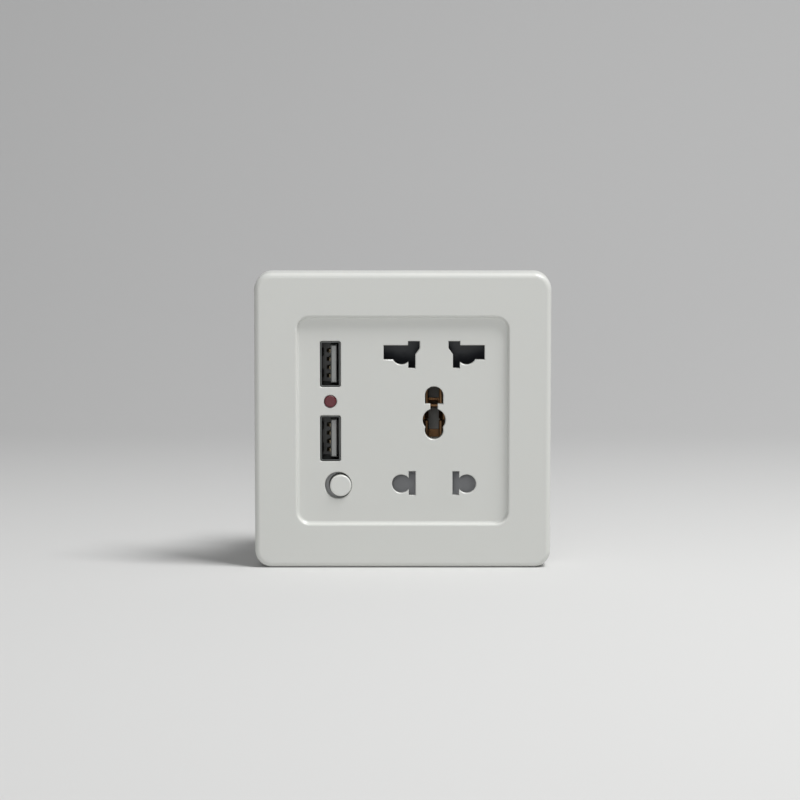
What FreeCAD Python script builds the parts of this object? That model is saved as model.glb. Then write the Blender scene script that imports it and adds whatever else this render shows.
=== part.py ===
"""Universal wall socket with two USB ports, a power button and an indicator.

Frame: the wall is the plane Y = 0, the front looks along -Y, +X is right and
+Z is up. The origin is the middle of the two wall screws. Millimetres.
"""

import FreeCAD, Part
import os

V = FreeCAD.Vector

PLATE = 86.0


def face(size):
    """A size across the wall, drawn for an 86 mm plate and scaled to this one."""
    return size * PLATE / 86


# Clearances
SIDE_GAP = 0.3
SLIDE_GAP = 0.3
FIT_GAP = 0.05
SEAT_GAP = 0.1
ROOM_GAP = 0.4
# How far joined volumes reach into each other, and cuts beyond a surface
LAP = 0.5
OVER = 1.0

# Depths, from the wall to the front
SEAT_DEPTH = 0.6
DECK = 2.6
SHUTTER_DEPTH = 3.8
COVER_WALL = 2.0
FIELD_STEP = 1.5
SEAT_Y = -SEAT_DEPTH
DECK_Y = -DECK
SHUTTER_REAR_Y = DECK_Y - SLIDE_GAP
SHUTTER_FRONT_Y = SHUTTER_REAR_Y - SHUTTER_DEPTH
COVER_INNER_Y = SHUTTER_FRONT_Y - SLIDE_GAP
FIELD_Y = COVER_INNER_Y - COVER_WALL
RIM_Y = FIELD_Y - FIELD_STEP
RIM_INNER_Y = RIM_Y + COVER_WALL
COVER_REAR_Y = -0.3

# Depths, from the wall to the back
WELL_DEPTH = 14.4
MIDDLE_WALL = 2.2
TERMINAL_DEPTH = 7.5
CLAMP_TRAVEL = 2.4
CLAMP_HEAD = 1.6
CLAMP_CLEARANCE = 0.2
HATCH = 1.6
LEDGE_DEPTH = 1.4
PLATE_Y0 = SEAT_Y + WELL_DEPTH
PLATE_Y1 = PLATE_Y0 + MIDDLE_WALL
TERMINAL_REAR_Y = PLATE_Y1 + TERMINAL_DEPTH
CLAMP_HEAD_Y = TERMINAL_REAR_Y + CLAMP_CLEARANCE + CLAMP_TRAVEL
HOUSING_REAR_Y = CLAMP_HEAD_Y + CLAMP_HEAD + SIDE_GAP
HATCH_Y = HOUSING_REAR_Y - HATCH
LEDGE_Y = HATCH_Y - LEDGE_DEPTH

# Cover plate
PLATE_RADIUS = face(5.0)
PLATE_EDGE = 1.6
FIELD_WIDTH = face(61.2)
FIELD_HEIGHT = face(60.4)
FIELD_RADIUS = face(3.6)
LIP_RADIUS = 0.6
FOOT_RADIUS = 0.8
SLOT_EDGE = 0.2
COVER_INSIDE = PLATE - 2 * COVER_WALL
RIB_WIDTH = 1.2
COVER_RIBS = (face(-24.0), face(-12.0), face(12.0), face(24.0))
PRY_WIDTH = 10.0
PRY_DEPTH = 2.0

# Mounting frame
FRAME = COVER_INSIDE - 2 * SIDE_GAP
FRAME_RADIUS = PLATE_RADIUS - COVER_WALL - SIDE_GAP
UPSTAND = 2.0
UPSTAND_WALL = 1.2
UPSTAND_Y = DECK_Y - UPSTAND
FRAME_RIBS = (face(-24.0), face(-16.0), face(-8.0), face(8.0), face(16.0), face(24.0))
SCREW_SPACING = face(60.3)
SLOT_LENGTH = face(6.4)
SLOT_RADIUS = face(2.2)
EAR_MARGIN = 1.3
EAR_Y = DECK_Y - 0.8
PEG_AT = face(36.0)
PEG_RADIUS = 1.9
PEG_TIP = 0.6
PEG_END_Y = -1.2
SLEEVE_RADIUS = PEG_RADIUS + 1.3
POCKET_DEPTH = 1.3
POCKET_RIB = 1.4
POCKET_PAD = 4.0

# Outlets: x of their middle, then offsets from there
OUTLET_X = face(9.1)
WIDE_SLOT_IN, WIDE_SLOT_OUT = face(7.55), face(14.65)
WIDE_SLOT_LOW, WIDE_SLOT_HIGH = face(17.7), face(21.9)
BLADE_OFFSET, BLADE_WIDTH = face(6.47), face(2.05)
BLADE_LOW, BLADE_HIGH = face(15.2), face(23.1)
ROUND_OFFSET, ROUND_Z, ROUND_RADIUS = face(9.45), face(19.05), face(2.83)
TILTED_SIDE, TILTED_LOW = face(4.17), face(21.0)
TILTED_FOOT, TILTED_FOOT_Z = face(5.45), face(19.2)

EARTH_DOME_RADIUS, EARTH_DOME_Z, EARTH_DOME_LOW = face(2.67), face(7.23), face(4.8)
EARTH_NECK_WIDTH = face(2.17)
EARTH_MIDDLE_RADIUS, EARTH_MIDDLE_Z = face(3.33), face(0.1)
EARTH_LOWER_RADIUS, EARTH_LOWER_Z = face(2.7), face(-2.9)

TWO_ROUND_OFFSET, TWO_ROUND_Z, TWO_ROUND_RADIUS = face(9.5), face(-18.6), face(2.72)
TWO_BLADE_OFFSET, TWO_BLADE_WIDTH = face(6.35), face(1.95)
TWO_BLADE_HEIGHT, TWO_BLADE_Z = face(7.0), face(-18.45)

# Pin ways through the deck: offsets from the outlets' middle and heights
THREE_WAY = (face(4.0), face(15.0), face(15.0), face(23.4))
TWO_WAY = (face(5.0), face(12.6), face(-22.4), face(-14.5))
EARTH_WAY = (face(-3.5), face(3.5), face(-5.8), face(10.2))
FUNNEL_WALL = face(1.1)

# Ports, with shell, tongue and contacts
PORT_X = face(-21.0)
PORT_Z = {"upper": face(16.4), "lower": face(-5.3)}
PORT_WIDTH, PORT_HEIGHT, PORT_RADIUS = face(6.0), face(13.4), face(0.6)
SHELL_GAP = 0.15
SHELL_WALL = 0.35
SHELL_DEPTH = 14.0
SHELL_RECESS = 0.4
SHELL_WIDTH = PORT_WIDTH - 2 * SHELL_GAP
SHELL_HEIGHT = PORT_HEIGHT - 2 * SHELL_GAP
SHELL_FRONT_Y = FIELD_Y + SHELL_RECESS
SHELL_REAR_Y = SHELL_FRONT_Y + SHELL_DEPTH
SHELL_RADIUS = 0.5
LATCH_STEP, LATCH_WIDTH, LATCH_SLIT = face(3.1), face(1.4), 0.2
LATCH_Y, LATCH_LENGTH = SHELL_FRONT_Y + 2.9, 4.2
TONGUE_WIDTH, TONGUE_HEIGHT = face(1.84), face(11.1)
TONGUE_X = PORT_X + face(1.02)
TONGUE_FRONT_Y = SHELL_FRONT_Y + 0.6
TONGUE_BASE = 2.4
TONGUE_BASE_Y = SHELL_REAR_Y - TONGUE_BASE
TONGUE_EDGE = 0.35
CONTACT_COUNT, CONTACT_PITCH, CONTACT_WIDTH = 4, face(2.4), face(1.1)
CONTACT_THICKNESS, CONTACT_SETBACK = 0.2, 1.2

# Lamp
LAMP_Z = face(5.5)
LAMP_RADIUS = face(1.75)
LAMP_HOLE_RADIUS = LAMP_RADIUS + 0.1
LAMP_PROUD = 0.1
LAMP_DOME = 0.4
LAMP_LENGTH = 5.1
LAMP_FLANGE, LAMP_FLANGE_DEPTH = 0.35, 1.2
LAMP_LEG, LAMP_LEG_PITCH = 0.5, face(2.54)
LAMP_LEG_Y = 4.0

# Button and the switch behind it
BUTTON_HOLE_X, BUTTON_HOLE_Z, BUTTON_HOLE_RADIUS = face(-18.75), face(-19.0), face(3.9)
BUTTON_X, BUTTON_Z, BUTTON_RADIUS = face(-18.05), face(-19.05), face(3.13)
BUTTON_PROUD = 0.7
BUTTON_EDGE = 0.5
BUTTON_CAP = 4.5
BUTTON_STEM_RADIUS = face(2.2)
BUTTON_FLANGE, BUTTON_FLANGE_RADIUS = 1.0, face(2.8)
BUTTON_GUIDE, BUTTON_GUIDE_RADIUS = 3.0, face(0.9)
BUTTON_FRONT_Y = FIELD_Y - BUTTON_PROUD
SWITCH_SIZE = face(7.4)
SWITCH_FLOOR = 1.0
SWITCH_LID = 0.9
SWITCH_RADIUS = 0.5
SWITCH_BORE_RADIUS = BUTTON_FLANGE_RADIUS + SLIDE_GAP
SWITCH_FRONT_Y, SWITCH_DEPTH = -2.0, 8.0
SWITCH_REAR_Y = SWITCH_FRONT_Y + SWITCH_DEPTH
BUTTON_SPRING_RADIUS, BUTTON_SPRING_WIRE, BUTTON_SPRING_TURNS = face(2.2), 0.2, 5

# Shutters. Heights are of the rear edge, the crest and the back; way is the slide's direction
SHUTTER_EDGE = 0.5
TAB_DEPTH = 1.6
TAB_WIDTH = face(1.5)
RAIL_WALL = 1.2
RAIL_LAP = 0.8
TAB_Y = SHUTTER_REAR_Y - TAB_DEPTH
LIP_Y = TAB_Y - SLIDE_GAP
RAIL_Y = LIP_Y - RAIL_WALL
FORK_HALF = face(3.0)
SHUTTER_PEG_RADIUS, SHUTTER_PEG = 1.1, 2.5
SPRING_Y = 0.5 * (SHUTTER_FRONT_Y + SHUTTER_REAR_Y)
SPRING_MEAN_RADIUS = 1.6
SPRING_WIRE_RADIUS = 0.25
SPRING_TURNS = 6
WIRE_FLATS = 6
SPRING_CUP = 0.45
SPRING_WALL = 1.5
SPRING_WALL_Z = FRAME / 2 - face(3.0)
THREE = {"half": face(15.4), "edge": face(14.9), "crest": face(23.3), "back": face(25.0),
         "travel": face(8.4), "way": 1}
TWO = {"half": face(13.0), "edge": face(-14.7), "crest": face(-22.6), "back": face(-24.4),
       "travel": face(8.0), "way": -1}

# Housing behind the frame, wide enough for the board beside the shells
BOARD = 1.0
BOARD_GAP = 0.25
HOUSING_WALL = 1.5
HOUSING_RADIUS = 1.5
BOARD_X1 = PORT_X - SHELL_WIDTH / 2
INNER_X = BOARD + BOARD_GAP - BOARD_X1
INNER_Z = face(25.5) - HOUSING_WALL
HOUSING_HALF_X = INNER_X + HOUSING_WALL
HOUSING_HALF_Z = INNER_Z + HOUSING_WALL
PARTITION = 1.2
PARTITION_X0 = face(-8.0)
PARTITION_X1 = PARTITION_X0 + PARTITION
MODULE_X0, MODULE_X1 = -INNER_X + SEAT_GAP, BUTTON_X + SWITCH_SIZE / 2 + 0.45
MODULE_HALF_Z = INNER_Z + 0.2
MODULE_RADIUS = 1.0
LEDGE = 1.3
WELL_WALL = 1.0
# Wells: offsets from the outlets' middle and heights
THREE_WELL = (face(3.9), face(15.3), face(14.2), INNER_Z)
TWO_WELL = (face(4.2), face(13.4), -INNER_Z, face(-13.6))
EARTH_WELL = (face(-3.6), face(3.6), face(-7.6), face(11.4))
SHELF_Z, SHELF_X = face(18.8), PARTITION_X0 - face(5.8)
VENT_COUNT, VENT_PITCH, VENT_WIDTH, VENT_RADIUS = 6, face(2.3), face(1.2), face(0.5)
VENT_LENGTH, VENT_Z = face(10.0), face(13.0)
LABEL_WIDTH, LABEL_HEIGHT, LABEL_DEPTH = face(12.0), face(9.0), 0.4

# Current path
BUS = 0.8
BUS_Y0 = PLATE_Y0 - BUS
BUS_IN, BUS_OUT = face(7.3), face(11.1)
BUS_LOW, BUS_HIGH = face(-21.5), face(22.4)
EARTH_BUS_HALF, EARTH_FRAME_HALF = face(1.9), face(3.2)
JAW_BASE = 0.7
LEAF = 0.6
LEAF_MOUTH_Y, LEAF_GRIP_Y = 1.0, 4.2
LEAF_HEEL_Y = BUS_Y0 - 4.5
# Leaves: half gap at the base, at the grip and at the mouth
PIN_LEAF = (face(2.0), face(1.5), face(2.5))
BLADE_LEAF = (face(0.85), face(0.45), face(1.1))
EARTH_LEAF = (face(2.0), face(1.5), face(2.7))
EARTH_TOP_LEAF = (face(3.0), face(2.3), face(3.1))
JAW_HALF_Z = face(2.6)
JAW_PIN_X, JAW_THREE_OUT, JAW_TWO_OUT = face(8.4), face(14.0), face(12.4)
EARTH_JAW_LOW, EARTH_JAW_HIGH = face(-5.8), face(9.2)
# The jaw's three fingers: slits between them, and where the outer two start
EARTH_SLITS = (face(-1.6), face(2.2))
EARTH_SLIT = 0.7
EARTH_FINGER_Y = LEAF_GRIP_Y - 0.7
TOP_LEAF_HALF = face(1.3)
# Windows through the jaw's base and its strip, so that long pins pass
EARTH_WINDOW_HALF = face(1.9)
EARTH_WINDOWS = ((face(-5.2), face(1.9)), (face(4.2), face(8.7)))

# Terminals and clamp screws
TERMINAL_OFFSET = face(9.9)
TERMINAL_Z = face(19.4)
TERMINAL_WIDTH, TERMINAL_LENGTH = face(7.4), face(9.0)
TERMINAL_EDGE = 0.4
TERMINAL_PAD_RADIUS = face(2.4)
WIRE_RADIUS = 1.9
WIRE_Y = PLATE_Y1 + WIRE_RADIUS + 1.3
STUD_RADIUS = face(1.2)
STUD_HEAD_RADIUS, STUD_HEAD = face(1.8), 0.6
CLAMP_RADIUS = face(1.7)
CLAMP_HEAD_RADIUS = face(3.0)
CLAMP_SLOT, CLAMP_SLOT_DEPTH, CLAMP_CROSS = 0.9, 0.9, face(3.4)

# Shroud that keeps the terminals apart
SHROUD_WALL = 1.2
BAY_HALF = TERMINAL_WIDTH / 2 + 0.5
SHROUD_RIB = 1.0
SHROUD_RIB_DROP = 2.0
SHROUD_SPINE_Z = face(-9.0)

# Assembly screws, from the back through the housing into the frame's pillars
PILLAR_RADIUS = 2.3
PILLAR_Z = INNER_Z - PILLAR_RADIUS - SIDE_GAP
PILLAR_X = PARTITION_X0 - PILLAR_RADIUS - 0.7
PILLARS = [(OUTLET_X, PILLAR_Z), (PILLAR_X, PILLAR_Z), (PILLAR_X, -PILLAR_Z),
           (INNER_X - PILLAR_RADIUS - SEAT_GAP, face(-2.0))]
ASSEMBLY_RADIUS = 1.2
ASSEMBLY_HEAD_RADIUS, ASSEMBLY_HEAD = 2.3, 1.6
ASSEMBLY_TIP = 0.8
ASSEMBLY_LENGTH = 11.0
ASSEMBLY_END_Y = PLATE_Y1 - ASSEMBLY_LENGTH
ASSEMBLY_RECESS, ASSEMBLY_RECESS_DEPTH, ASSEMBLY_RECESS_HALF = 0.6, 0.9, 1.4

# Charger electronics
BOARD_Y0 = 1.0
BOARD_HALF_Z = INNER_Z - 0.7
PARTS_Y = (SHELL_REAR_Y + HATCH_Y) / 2 - 0.9
CORE_STANDOFF = 1.6
CORE_DEPTH, CORE_HEIGHT, CORE_WIDTH = face(12.0), face(13.0), 12.0
CORE_Z = face(2.0)
CORE_YOKE, CORE_WINDOW = face(2.0), CORE_WIDTH / 5
COIL_BULGE = 0.6
MAINS_CAPACITOR = {"radius": face(4.0), "length": face(9.4), "y": PARTS_Y + 2.5, "z": face(14.4)}
OUTPUT_CAPACITOR = {"radius": face(3.15), "length": face(9.0), "y": PARTS_Y, "z": face(-14.5)}
CAN_EDGE = 0.5
CAN_BEAD_AT, CAN_BEAD, CAN_BEAD_DEPTH = 1.6, 0.6, 0.3
LEAD_RADIUS = 0.8
LEAD_PASSAGE = LEAD_RADIUS + ROOM_GAP
LIVE_LEAD = (BUS_Y0 - LEAD_RADIUS, face(12.0))
NEUTRAL_LEAD = (BUS_Y0 - 3.0, face(-10.0))


def block(x0, x1, y0, y1, z0, z1):
    return Part.makeBox(x1 - x0, y1 - y0, z1 - z0, V(x0, y0, z0))


def centred(x, z, half_x, half_z, y0, y1):
    return block(x - half_x, x + half_x, y0, y1, z - half_z, z + half_z)


def edges_along_y(shape):
    return [edge for edge in shape.Edges if abs(edge.tangentAt(edge.FirstParameter).y) > 0.99]


def rounded(x, z, width, height, radius, y0, y1):
    """A block with its four edges along Y rounded."""
    shape = centred(x, z, width / 2, height / 2, y0, y1)
    return shape.makeFillet(radius, edges_along_y(shape))


def rod_x(radius, x0, x1, y, z):
    return Part.makeCylinder(radius, x1 - x0, V(x0, y, z), V(1, 0, 0))


def rod_y(radius, y0, y1, x, z):
    return Part.makeCylinder(radius, y1 - y0, V(x, y0, z), V(0, 1, 0))


def rod_z(radius, z0, z1, x, y):
    return Part.makeCylinder(radius, z1 - z0, V(x, y, z0), V(0, 0, 1))


def prism(points, move):
    """A closed polygon of vectors, extruded by the vector move."""
    return Part.Face(Part.makePolygon(points + [points[0]])).extrude(move)


def union(shapes):
    return shapes[0].multiFuse(shapes[1:]).removeSplitter()


def cut(shape, tools):
    return shape.cut(Part.makeCompound(tools))


def mirrored(shape):
    """The same shape on the other side of the outlets' middle."""
    return shape.mirror(V(OUTLET_X, 0, 0), V(1, 0, 0))


def both_sides(shapes):
    return shapes + [mirrored(s) for s in shapes]


def beside_outlet(area, y0, y1):
    """A block from an area (x0, x1 from the outlets' middle, z0, z1)."""
    x0, x1, z0, z1 = area
    return block(OUTLET_X + x0, OUTLET_X + x1, y0, y1, z0, z1)


def wider(area, wall):
    x0, x1, z0, z1 = area
    return (x0 - wall, x1 + wall, z0 - wall, z1 + wall)


def edges_at(shape, y):
    """Edges that lie in the plane at depth y."""
    found = []
    for edge in shape.Edges:
        first, last = edge.FirstParameter, edge.LastParameter
        points = [edge.valueAt(first + share * (last - first)) for share in (0.0, 0.5, 1.0)]
        if all(abs(point.y - y) < 0.001 for point in points):
            found.append(edge)
    return found


def is_inside(edge, half_x, half_z):
    """Whether the edge's middle lies inside a rectangle about the origin."""
    middle = edge.valueAt(0.5 * (edge.FirstParameter + edge.LastParameter))
    return abs(middle.x) < half_x and abs(middle.z) < half_z


def inside(edges, half_x, half_z):
    return [edge for edge in edges if is_inside(edge, half_x, half_z)]


def outside(edges, half_x, half_z):
    return [edge for edge in edges if not is_inside(edge, half_x, half_z)]


def coil(mean_radius, wire_radius, length, turns):
    """A helical spring along Z from 0 to length. Flats on its wire keep it light to draw."""
    path = Part.makeHelix((length - 2 * wire_radius) / turns, length - 2 * wire_radius, mean_radius)
    circle = Part.makeCircle(wire_radius, V(mean_radius, 0, 0), V(0, 1, 0))
    section = Part.makePolygon(circle.discretize(WIRE_FLATS + 1))
    spring = Part.Wire(path).makePipeShell([section], True, True)
    return spring.translate(V(0, 0, wire_radius))


def save(name, shape):
    shape.exportStep("parts/" + name + ".step")


# Openings of the face

def three_pin_slot(y0, y1):
    """The right hand opening of the three pin outlet."""
    wide = beside_outlet((WIDE_SLOT_IN, WIDE_SLOT_OUT, WIDE_SLOT_LOW, WIDE_SLOT_HIGH), y0, y1)
    blade = beside_outlet((BLADE_OFFSET - BLADE_WIDTH / 2, BLADE_OFFSET + BLADE_WIDTH / 2,
                           BLADE_LOW, BLADE_HIGH), y0, y1)
    tilted = prism([V(OUTLET_X + WIDE_SLOT_IN, y0, BLADE_HIGH),
                    V(OUTLET_X + TILTED_SIDE, y0, BLADE_HIGH),
                    V(OUTLET_X + TILTED_SIDE, y0, TILTED_LOW),
                    V(OUTLET_X + TILTED_FOOT, y0, TILTED_FOOT_Z),
                    V(OUTLET_X + WIDE_SLOT_IN, y0, TILTED_FOOT_Z)], V(0, y1 - y0, 0))
    pin = rod_y(ROUND_RADIUS, y0, y1, OUTLET_X + ROUND_OFFSET, ROUND_Z)
    return union([wide, blade, tilted, pin])


def earth_slot(y0, y1):
    dome = rod_y(EARTH_DOME_RADIUS, y0, y1, OUTLET_X, EARTH_DOME_Z)
    foot = beside_outlet((-EARTH_DOME_RADIUS, EARTH_DOME_RADIUS, EARTH_DOME_LOW, EARTH_DOME_Z), y0, y1)
    below = beside_outlet((-EARTH_DOME_RADIUS, EARTH_DOME_RADIUS, 0, EARTH_DOME_LOW), y0, y1)
    neck_half = EARTH_NECK_WIDTH / 2
    neck = beside_outlet((-neck_half, neck_half, EARTH_MIDDLE_Z, EARTH_DOME_LOW), y0, y1)
    middle = rod_y(EARTH_MIDDLE_RADIUS, y0, y1, OUTLET_X, EARTH_MIDDLE_Z)
    lower = rod_y(EARTH_LOWER_RADIUS, y0, y1, OUTLET_X, EARTH_LOWER_Z)
    return union([union([dome, foot]).cut(below), neck, middle, lower])


def two_pin_slot(y0, y1):
    """The right hand opening of the two pin outlet."""
    pin = rod_y(TWO_ROUND_RADIUS, y0, y1, OUTLET_X + TWO_ROUND_OFFSET, TWO_ROUND_Z)
    blade = centred(OUTLET_X + TWO_BLADE_OFFSET, TWO_BLADE_Z,
                    TWO_BLADE_WIDTH / 2, TWO_BLADE_HEIGHT / 2, y0, y1)
    return union([pin, blade])


def face_openings(y0, y1):
    cuts = both_sides([three_pin_slot(y0, y1), two_pin_slot(y0, y1)])
    cuts.append(earth_slot(y0, y1))
    cuts += [rounded(PORT_X, z, PORT_WIDTH, PORT_HEIGHT, PORT_RADIUS, y0, y1) for z in PORT_Z.values()]
    cuts.append(rod_y(LAMP_HOLE_RADIUS, y0, y1, PORT_X, LAMP_Z))
    cuts.append(rod_y(BUTTON_HOLE_RADIUS, y0, y1, BUTTON_HOLE_X, BUTTON_HOLE_Z))
    return cuts


# Cover

def peg_places():
    return [(x, z) for x in (-PEG_AT, PEG_AT) for z in (-PEG_AT, PEG_AT)]


def cover_ribs():
    """Low ribs under the rim, four on each side."""
    reach = FIELD_WIDTH / 2 + COVER_WALL + OVER
    end = COVER_INSIDE / 2 + LAP / 2
    ribs = []
    for middle in COVER_RIBS:
        along0, along1 = middle - RIB_WIDTH / 2, middle + RIB_WIDTH / 2
        for side in (-1, 1):
            x0, x1 = sorted((side * reach, side * end))
            ribs.append(block(x0, x1, RIM_INNER_Y - LAP, RIM_INNER_Y + RIB_WIDTH, along0, along1))
            ribs.append(block(along0, along1, RIM_INNER_Y - LAP, RIM_INNER_Y + RIB_WIDTH, x0, x1))
    return ribs


def front_cover():
    shell = rounded(0, 0, PLATE, PLATE, PLATE_RADIUS, RIM_Y, COVER_REAR_Y)
    shell = shell.makeFillet(PLATE_EDGE, edges_at(shell, RIM_Y))
    shell = shell.cut(rounded(0, 0, FIELD_WIDTH, FIELD_HEIGHT, FIELD_RADIUS, RIM_Y - OVER, FIELD_Y))
    lip = inside(edges_at(shell, RIM_Y), FIELD_WIDTH / 2 + OVER, FIELD_HEIGHT / 2 + OVER)
    shell = shell.makeFillet(LIP_RADIUS, lip)
    cavity = rounded(0, 0, COVER_INSIDE, COVER_INSIDE, PLATE_RADIUS - COVER_WALL,
                     RIM_INNER_Y, COVER_REAR_Y + OVER)
    backing = rounded(0, 0, FIELD_WIDTH + 2 * COVER_WALL, FIELD_HEIGHT + 2 * COVER_WALL,
                      FIELD_RADIUS + COVER_WALL, RIM_INNER_Y - OVER, COVER_INNER_Y)
    shell = shell.cut(cavity.cut(backing))
    shell = cut(shell, face_openings(FIELD_Y - OVER, COVER_INNER_Y + OVER))
    half_x, half_z = FIELD_WIDTH / 2 - FIELD_RADIUS, FIELD_HEIGHT / 2 - FIELD_RADIUS
    shell = shell.makeChamfer(SLOT_EDGE, inside(edges_at(shell, FIELD_Y), half_x, half_z))
    shell = shell.makeFillet(FOOT_RADIUS, outside(edges_at(shell, FIELD_Y), half_x, half_z))
    pegs = []
    for x, z in peg_places():
        shoulder = PEG_END_Y - PEG_TIP
        end_radius = PEG_RADIUS - PEG_TIP
        pegs.append(rod_y(PEG_RADIUS, RIM_INNER_Y - LAP, shoulder, x, z))
        pegs.append(Part.makeCone(PEG_RADIUS, end_radius, PEG_TIP, V(x, shoulder, z), V(0, 1, 0)))
    shell = union([shell] + pegs + cover_ribs())
    pry = centred(0, -PLATE / 2, PRY_WIDTH / 2, COVER_WALL + OVER,
                  COVER_REAR_Y - PRY_DEPTH, COVER_REAR_Y + OVER)
    return shell.cut(pry)


# Mounting frame

def rail_parts(s):
    """Rails, lips, stops and the spring's cup of one shutter."""
    way = s["way"]
    start = s["edge"] - RAIL_LAP * way
    finish = s["back"] + (s["travel"] + RAIL_LAP) * way
    low, high = sorted((start, finish))
    stop0, stop1 = sorted((start, s["edge"] + (1 - SLIDE_GAP) * way))
    inner = s["half"] + SLIDE_GAP
    wall0 = inner + TAB_WIDTH
    wall1 = wall0 + RAIL_WALL
    bottom = DECK_Y + LAP
    right = [beside_outlet((wall0, wall1, low, high), RAIL_Y, bottom),
             beside_outlet((inner, wall1, low, high), RAIL_Y, LIP_Y),
             beside_outlet((inner, wall1, stop0, stop1), LIP_Y - RAIL_WALL / 2, bottom)]
    end0, end1 = sorted((SPRING_WALL_Z * way, (SPRING_WALL_Z + SPRING_WALL) * way))
    cup0, cup1 = sorted((finish, SPRING_WALL_Z * way))
    cup_in = SPRING_MEAN_RADIUS + SPRING_WIRE_RADIUS + SPRING_CUP
    cup_out = cup_in + RAIL_WALL
    if cup1 - cup0 > SLIDE_GAP:
        right.append(beside_outlet((cup_in, cup_out, cup0, cup1), SHUTTER_FRONT_Y, bottom))
    end = beside_outlet((-cup_out, cup_out, end0, end1), SHUTTER_FRONT_Y, bottom)
    return both_sides(right) + [end]


def deck_ways(y0, y1):
    """What is cut from the deck so that pins reach the contacts."""
    sides = both_sides([beside_outlet(THREE_WAY, y0, y1), beside_outlet(TWO_WAY, y0, y1)])
    return sides + [beside_outlet(EARTH_WAY, y0, y1)]


def wall_slot(x):
    half = SLOT_LENGTH / 2 - SLOT_RADIUS
    bar = centred(x, 0, half, SLOT_RADIUS, EAR_Y - OVER, OVER)
    ends = [rod_y(SLOT_RADIUS, EAR_Y - OVER, OVER, x + side * half, 0) for side in (-1, 1)]
    return union([bar] + ends)


def rear_pockets():
    """Shallow pockets that lighten the frame's rear, above, below and beside the housing."""
    outer = FRAME / 2 - UPSTAND_WALL
    beside = HOUSING_HALF_X + SEAT_GAP + POCKET_RIB
    above = HOUSING_HALF_Z + SEAT_GAP + POCKET_RIB
    rows = [(POCKET_PAD, PEG_AT - SLEEVE_RADIUS - POCKET_RIB, above, outer),
            (beside, outer, SLOT_RADIUS + EAR_MARGIN + POCKET_RIB, above - 2 * POCKET_RIB)]
    quarter = []
    for x0, x1, z0, z1 in rows:
        if x1 - x0 > z1 - z0:
            middle = (x0 + x1) / 2
            quarter.append((x0, middle - POCKET_RIB / 2, z0, z1))
            quarter.append((middle + POCKET_RIB / 2, x1, z0, z1))
        else:
            middle = (z0 + z1) / 2
            quarter.append((x0, x1, z0, middle - POCKET_RIB / 2))
            quarter.append((x0, x1, middle + POCKET_RIB / 2, z1))
    pockets = []
    for x0, x1, z0, z1 in quarter:
        for side in (-1, 1):
            for up in (-1, 1):
                pockets.append(block(*sorted((side * x0, side * x1)), -POCKET_DEPTH, OVER,
                                     *sorted((up * z0, up * z1))))
    return pockets


def mounting_frame():
    body = rounded(0, 0, FRAME, FRAME, FRAME_RADIUS, DECK_Y, 0)
    wall = rounded(0, 0, FRAME, FRAME, FRAME_RADIUS, UPSTAND_Y, DECK_Y + LAP)
    within = FRAME - 2 * UPSTAND_WALL
    wall = wall.cut(rounded(0, 0, within, within, FRAME_RADIUS - UPSTAND_WALL,
                            UPSTAND_Y - OVER, DECK_Y + OVER))
    screws = (-SCREW_SPACING / 2, SCREW_SPACING / 2)
    adds = [body, wall]
    for x in screws:
        adds.append(rounded(x, 0, SLOT_LENGTH + 2 * EAR_MARGIN, 2 * (SLOT_RADIUS + EAR_MARGIN),
                            EAR_MARGIN, EAR_Y, DECK_Y + LAP))
    sleeve_y = RIM_INNER_Y + RIB_WIDTH + SIDE_GAP
    adds += [rod_y(SLEEVE_RADIUS, sleeve_y, DECK_Y + LAP, x, z) for x, z in peg_places()]
    adds += rail_parts(THREE) + rail_parts(TWO)
    adds.append(beside_outlet(wider(EARTH_WAY, FUNNEL_WALL), SHUTTER_FRONT_Y, DECK_Y + LAP))
    rib_in, rib_out = HOUSING_HALF_X + SLEEVE_RADIUS, FRAME / 2 - UPSTAND_WALL / 2
    for side in (-1, 1):
        x0, x1 = sorted((side * rib_in, side * rib_out))
        for middle in FRAME_RIBS:
            z0, z1 = middle - RIB_WIDTH / 2, middle + RIB_WIDTH / 2
            adds.append(block(x0, x1, UPSTAND_Y, DECK_Y + LAP, z0, z1))
    shape = union(adds)
    seat = centred(0, 0, HOUSING_HALF_X + SEAT_GAP, HOUSING_HALF_Z + SEAT_GAP, SEAT_Y, OVER)
    module = rounded((MODULE_X0 + MODULE_X1) / 2, 0, MODULE_X1 - MODULE_X0, 2 * MODULE_HALF_Z,
                     MODULE_RADIUS, UPSTAND_Y, OVER)
    cuts = [seat, module] + deck_ways(SHUTTER_FRONT_Y - OVER, OVER) + rear_pockets()
    cuts += [wall_slot(x) for x in screws]
    cuts += [rod_y(PEG_RADIUS + FIT_GAP, sleeve_y - OVER, PEG_END_Y + ROOM_GAP, x, z)
             for x, z in peg_places()]
    shape = cut(shape, cuts)
    pillars = [rod_y(PILLAR_RADIUS, SEAT_Y - LAP, PLATE_Y0, x, z) for x, z in PILLARS]
    shape = union([shape] + pillars)
    pilots = [rod_y(ASSEMBLY_RADIUS + FIT_GAP, ASSEMBLY_END_Y - OVER, PLATE_Y0 + OVER, x, z)
              for x, z in PILLARS]
    return cut(shape, pilots)


# Shutters and their springs

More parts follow.
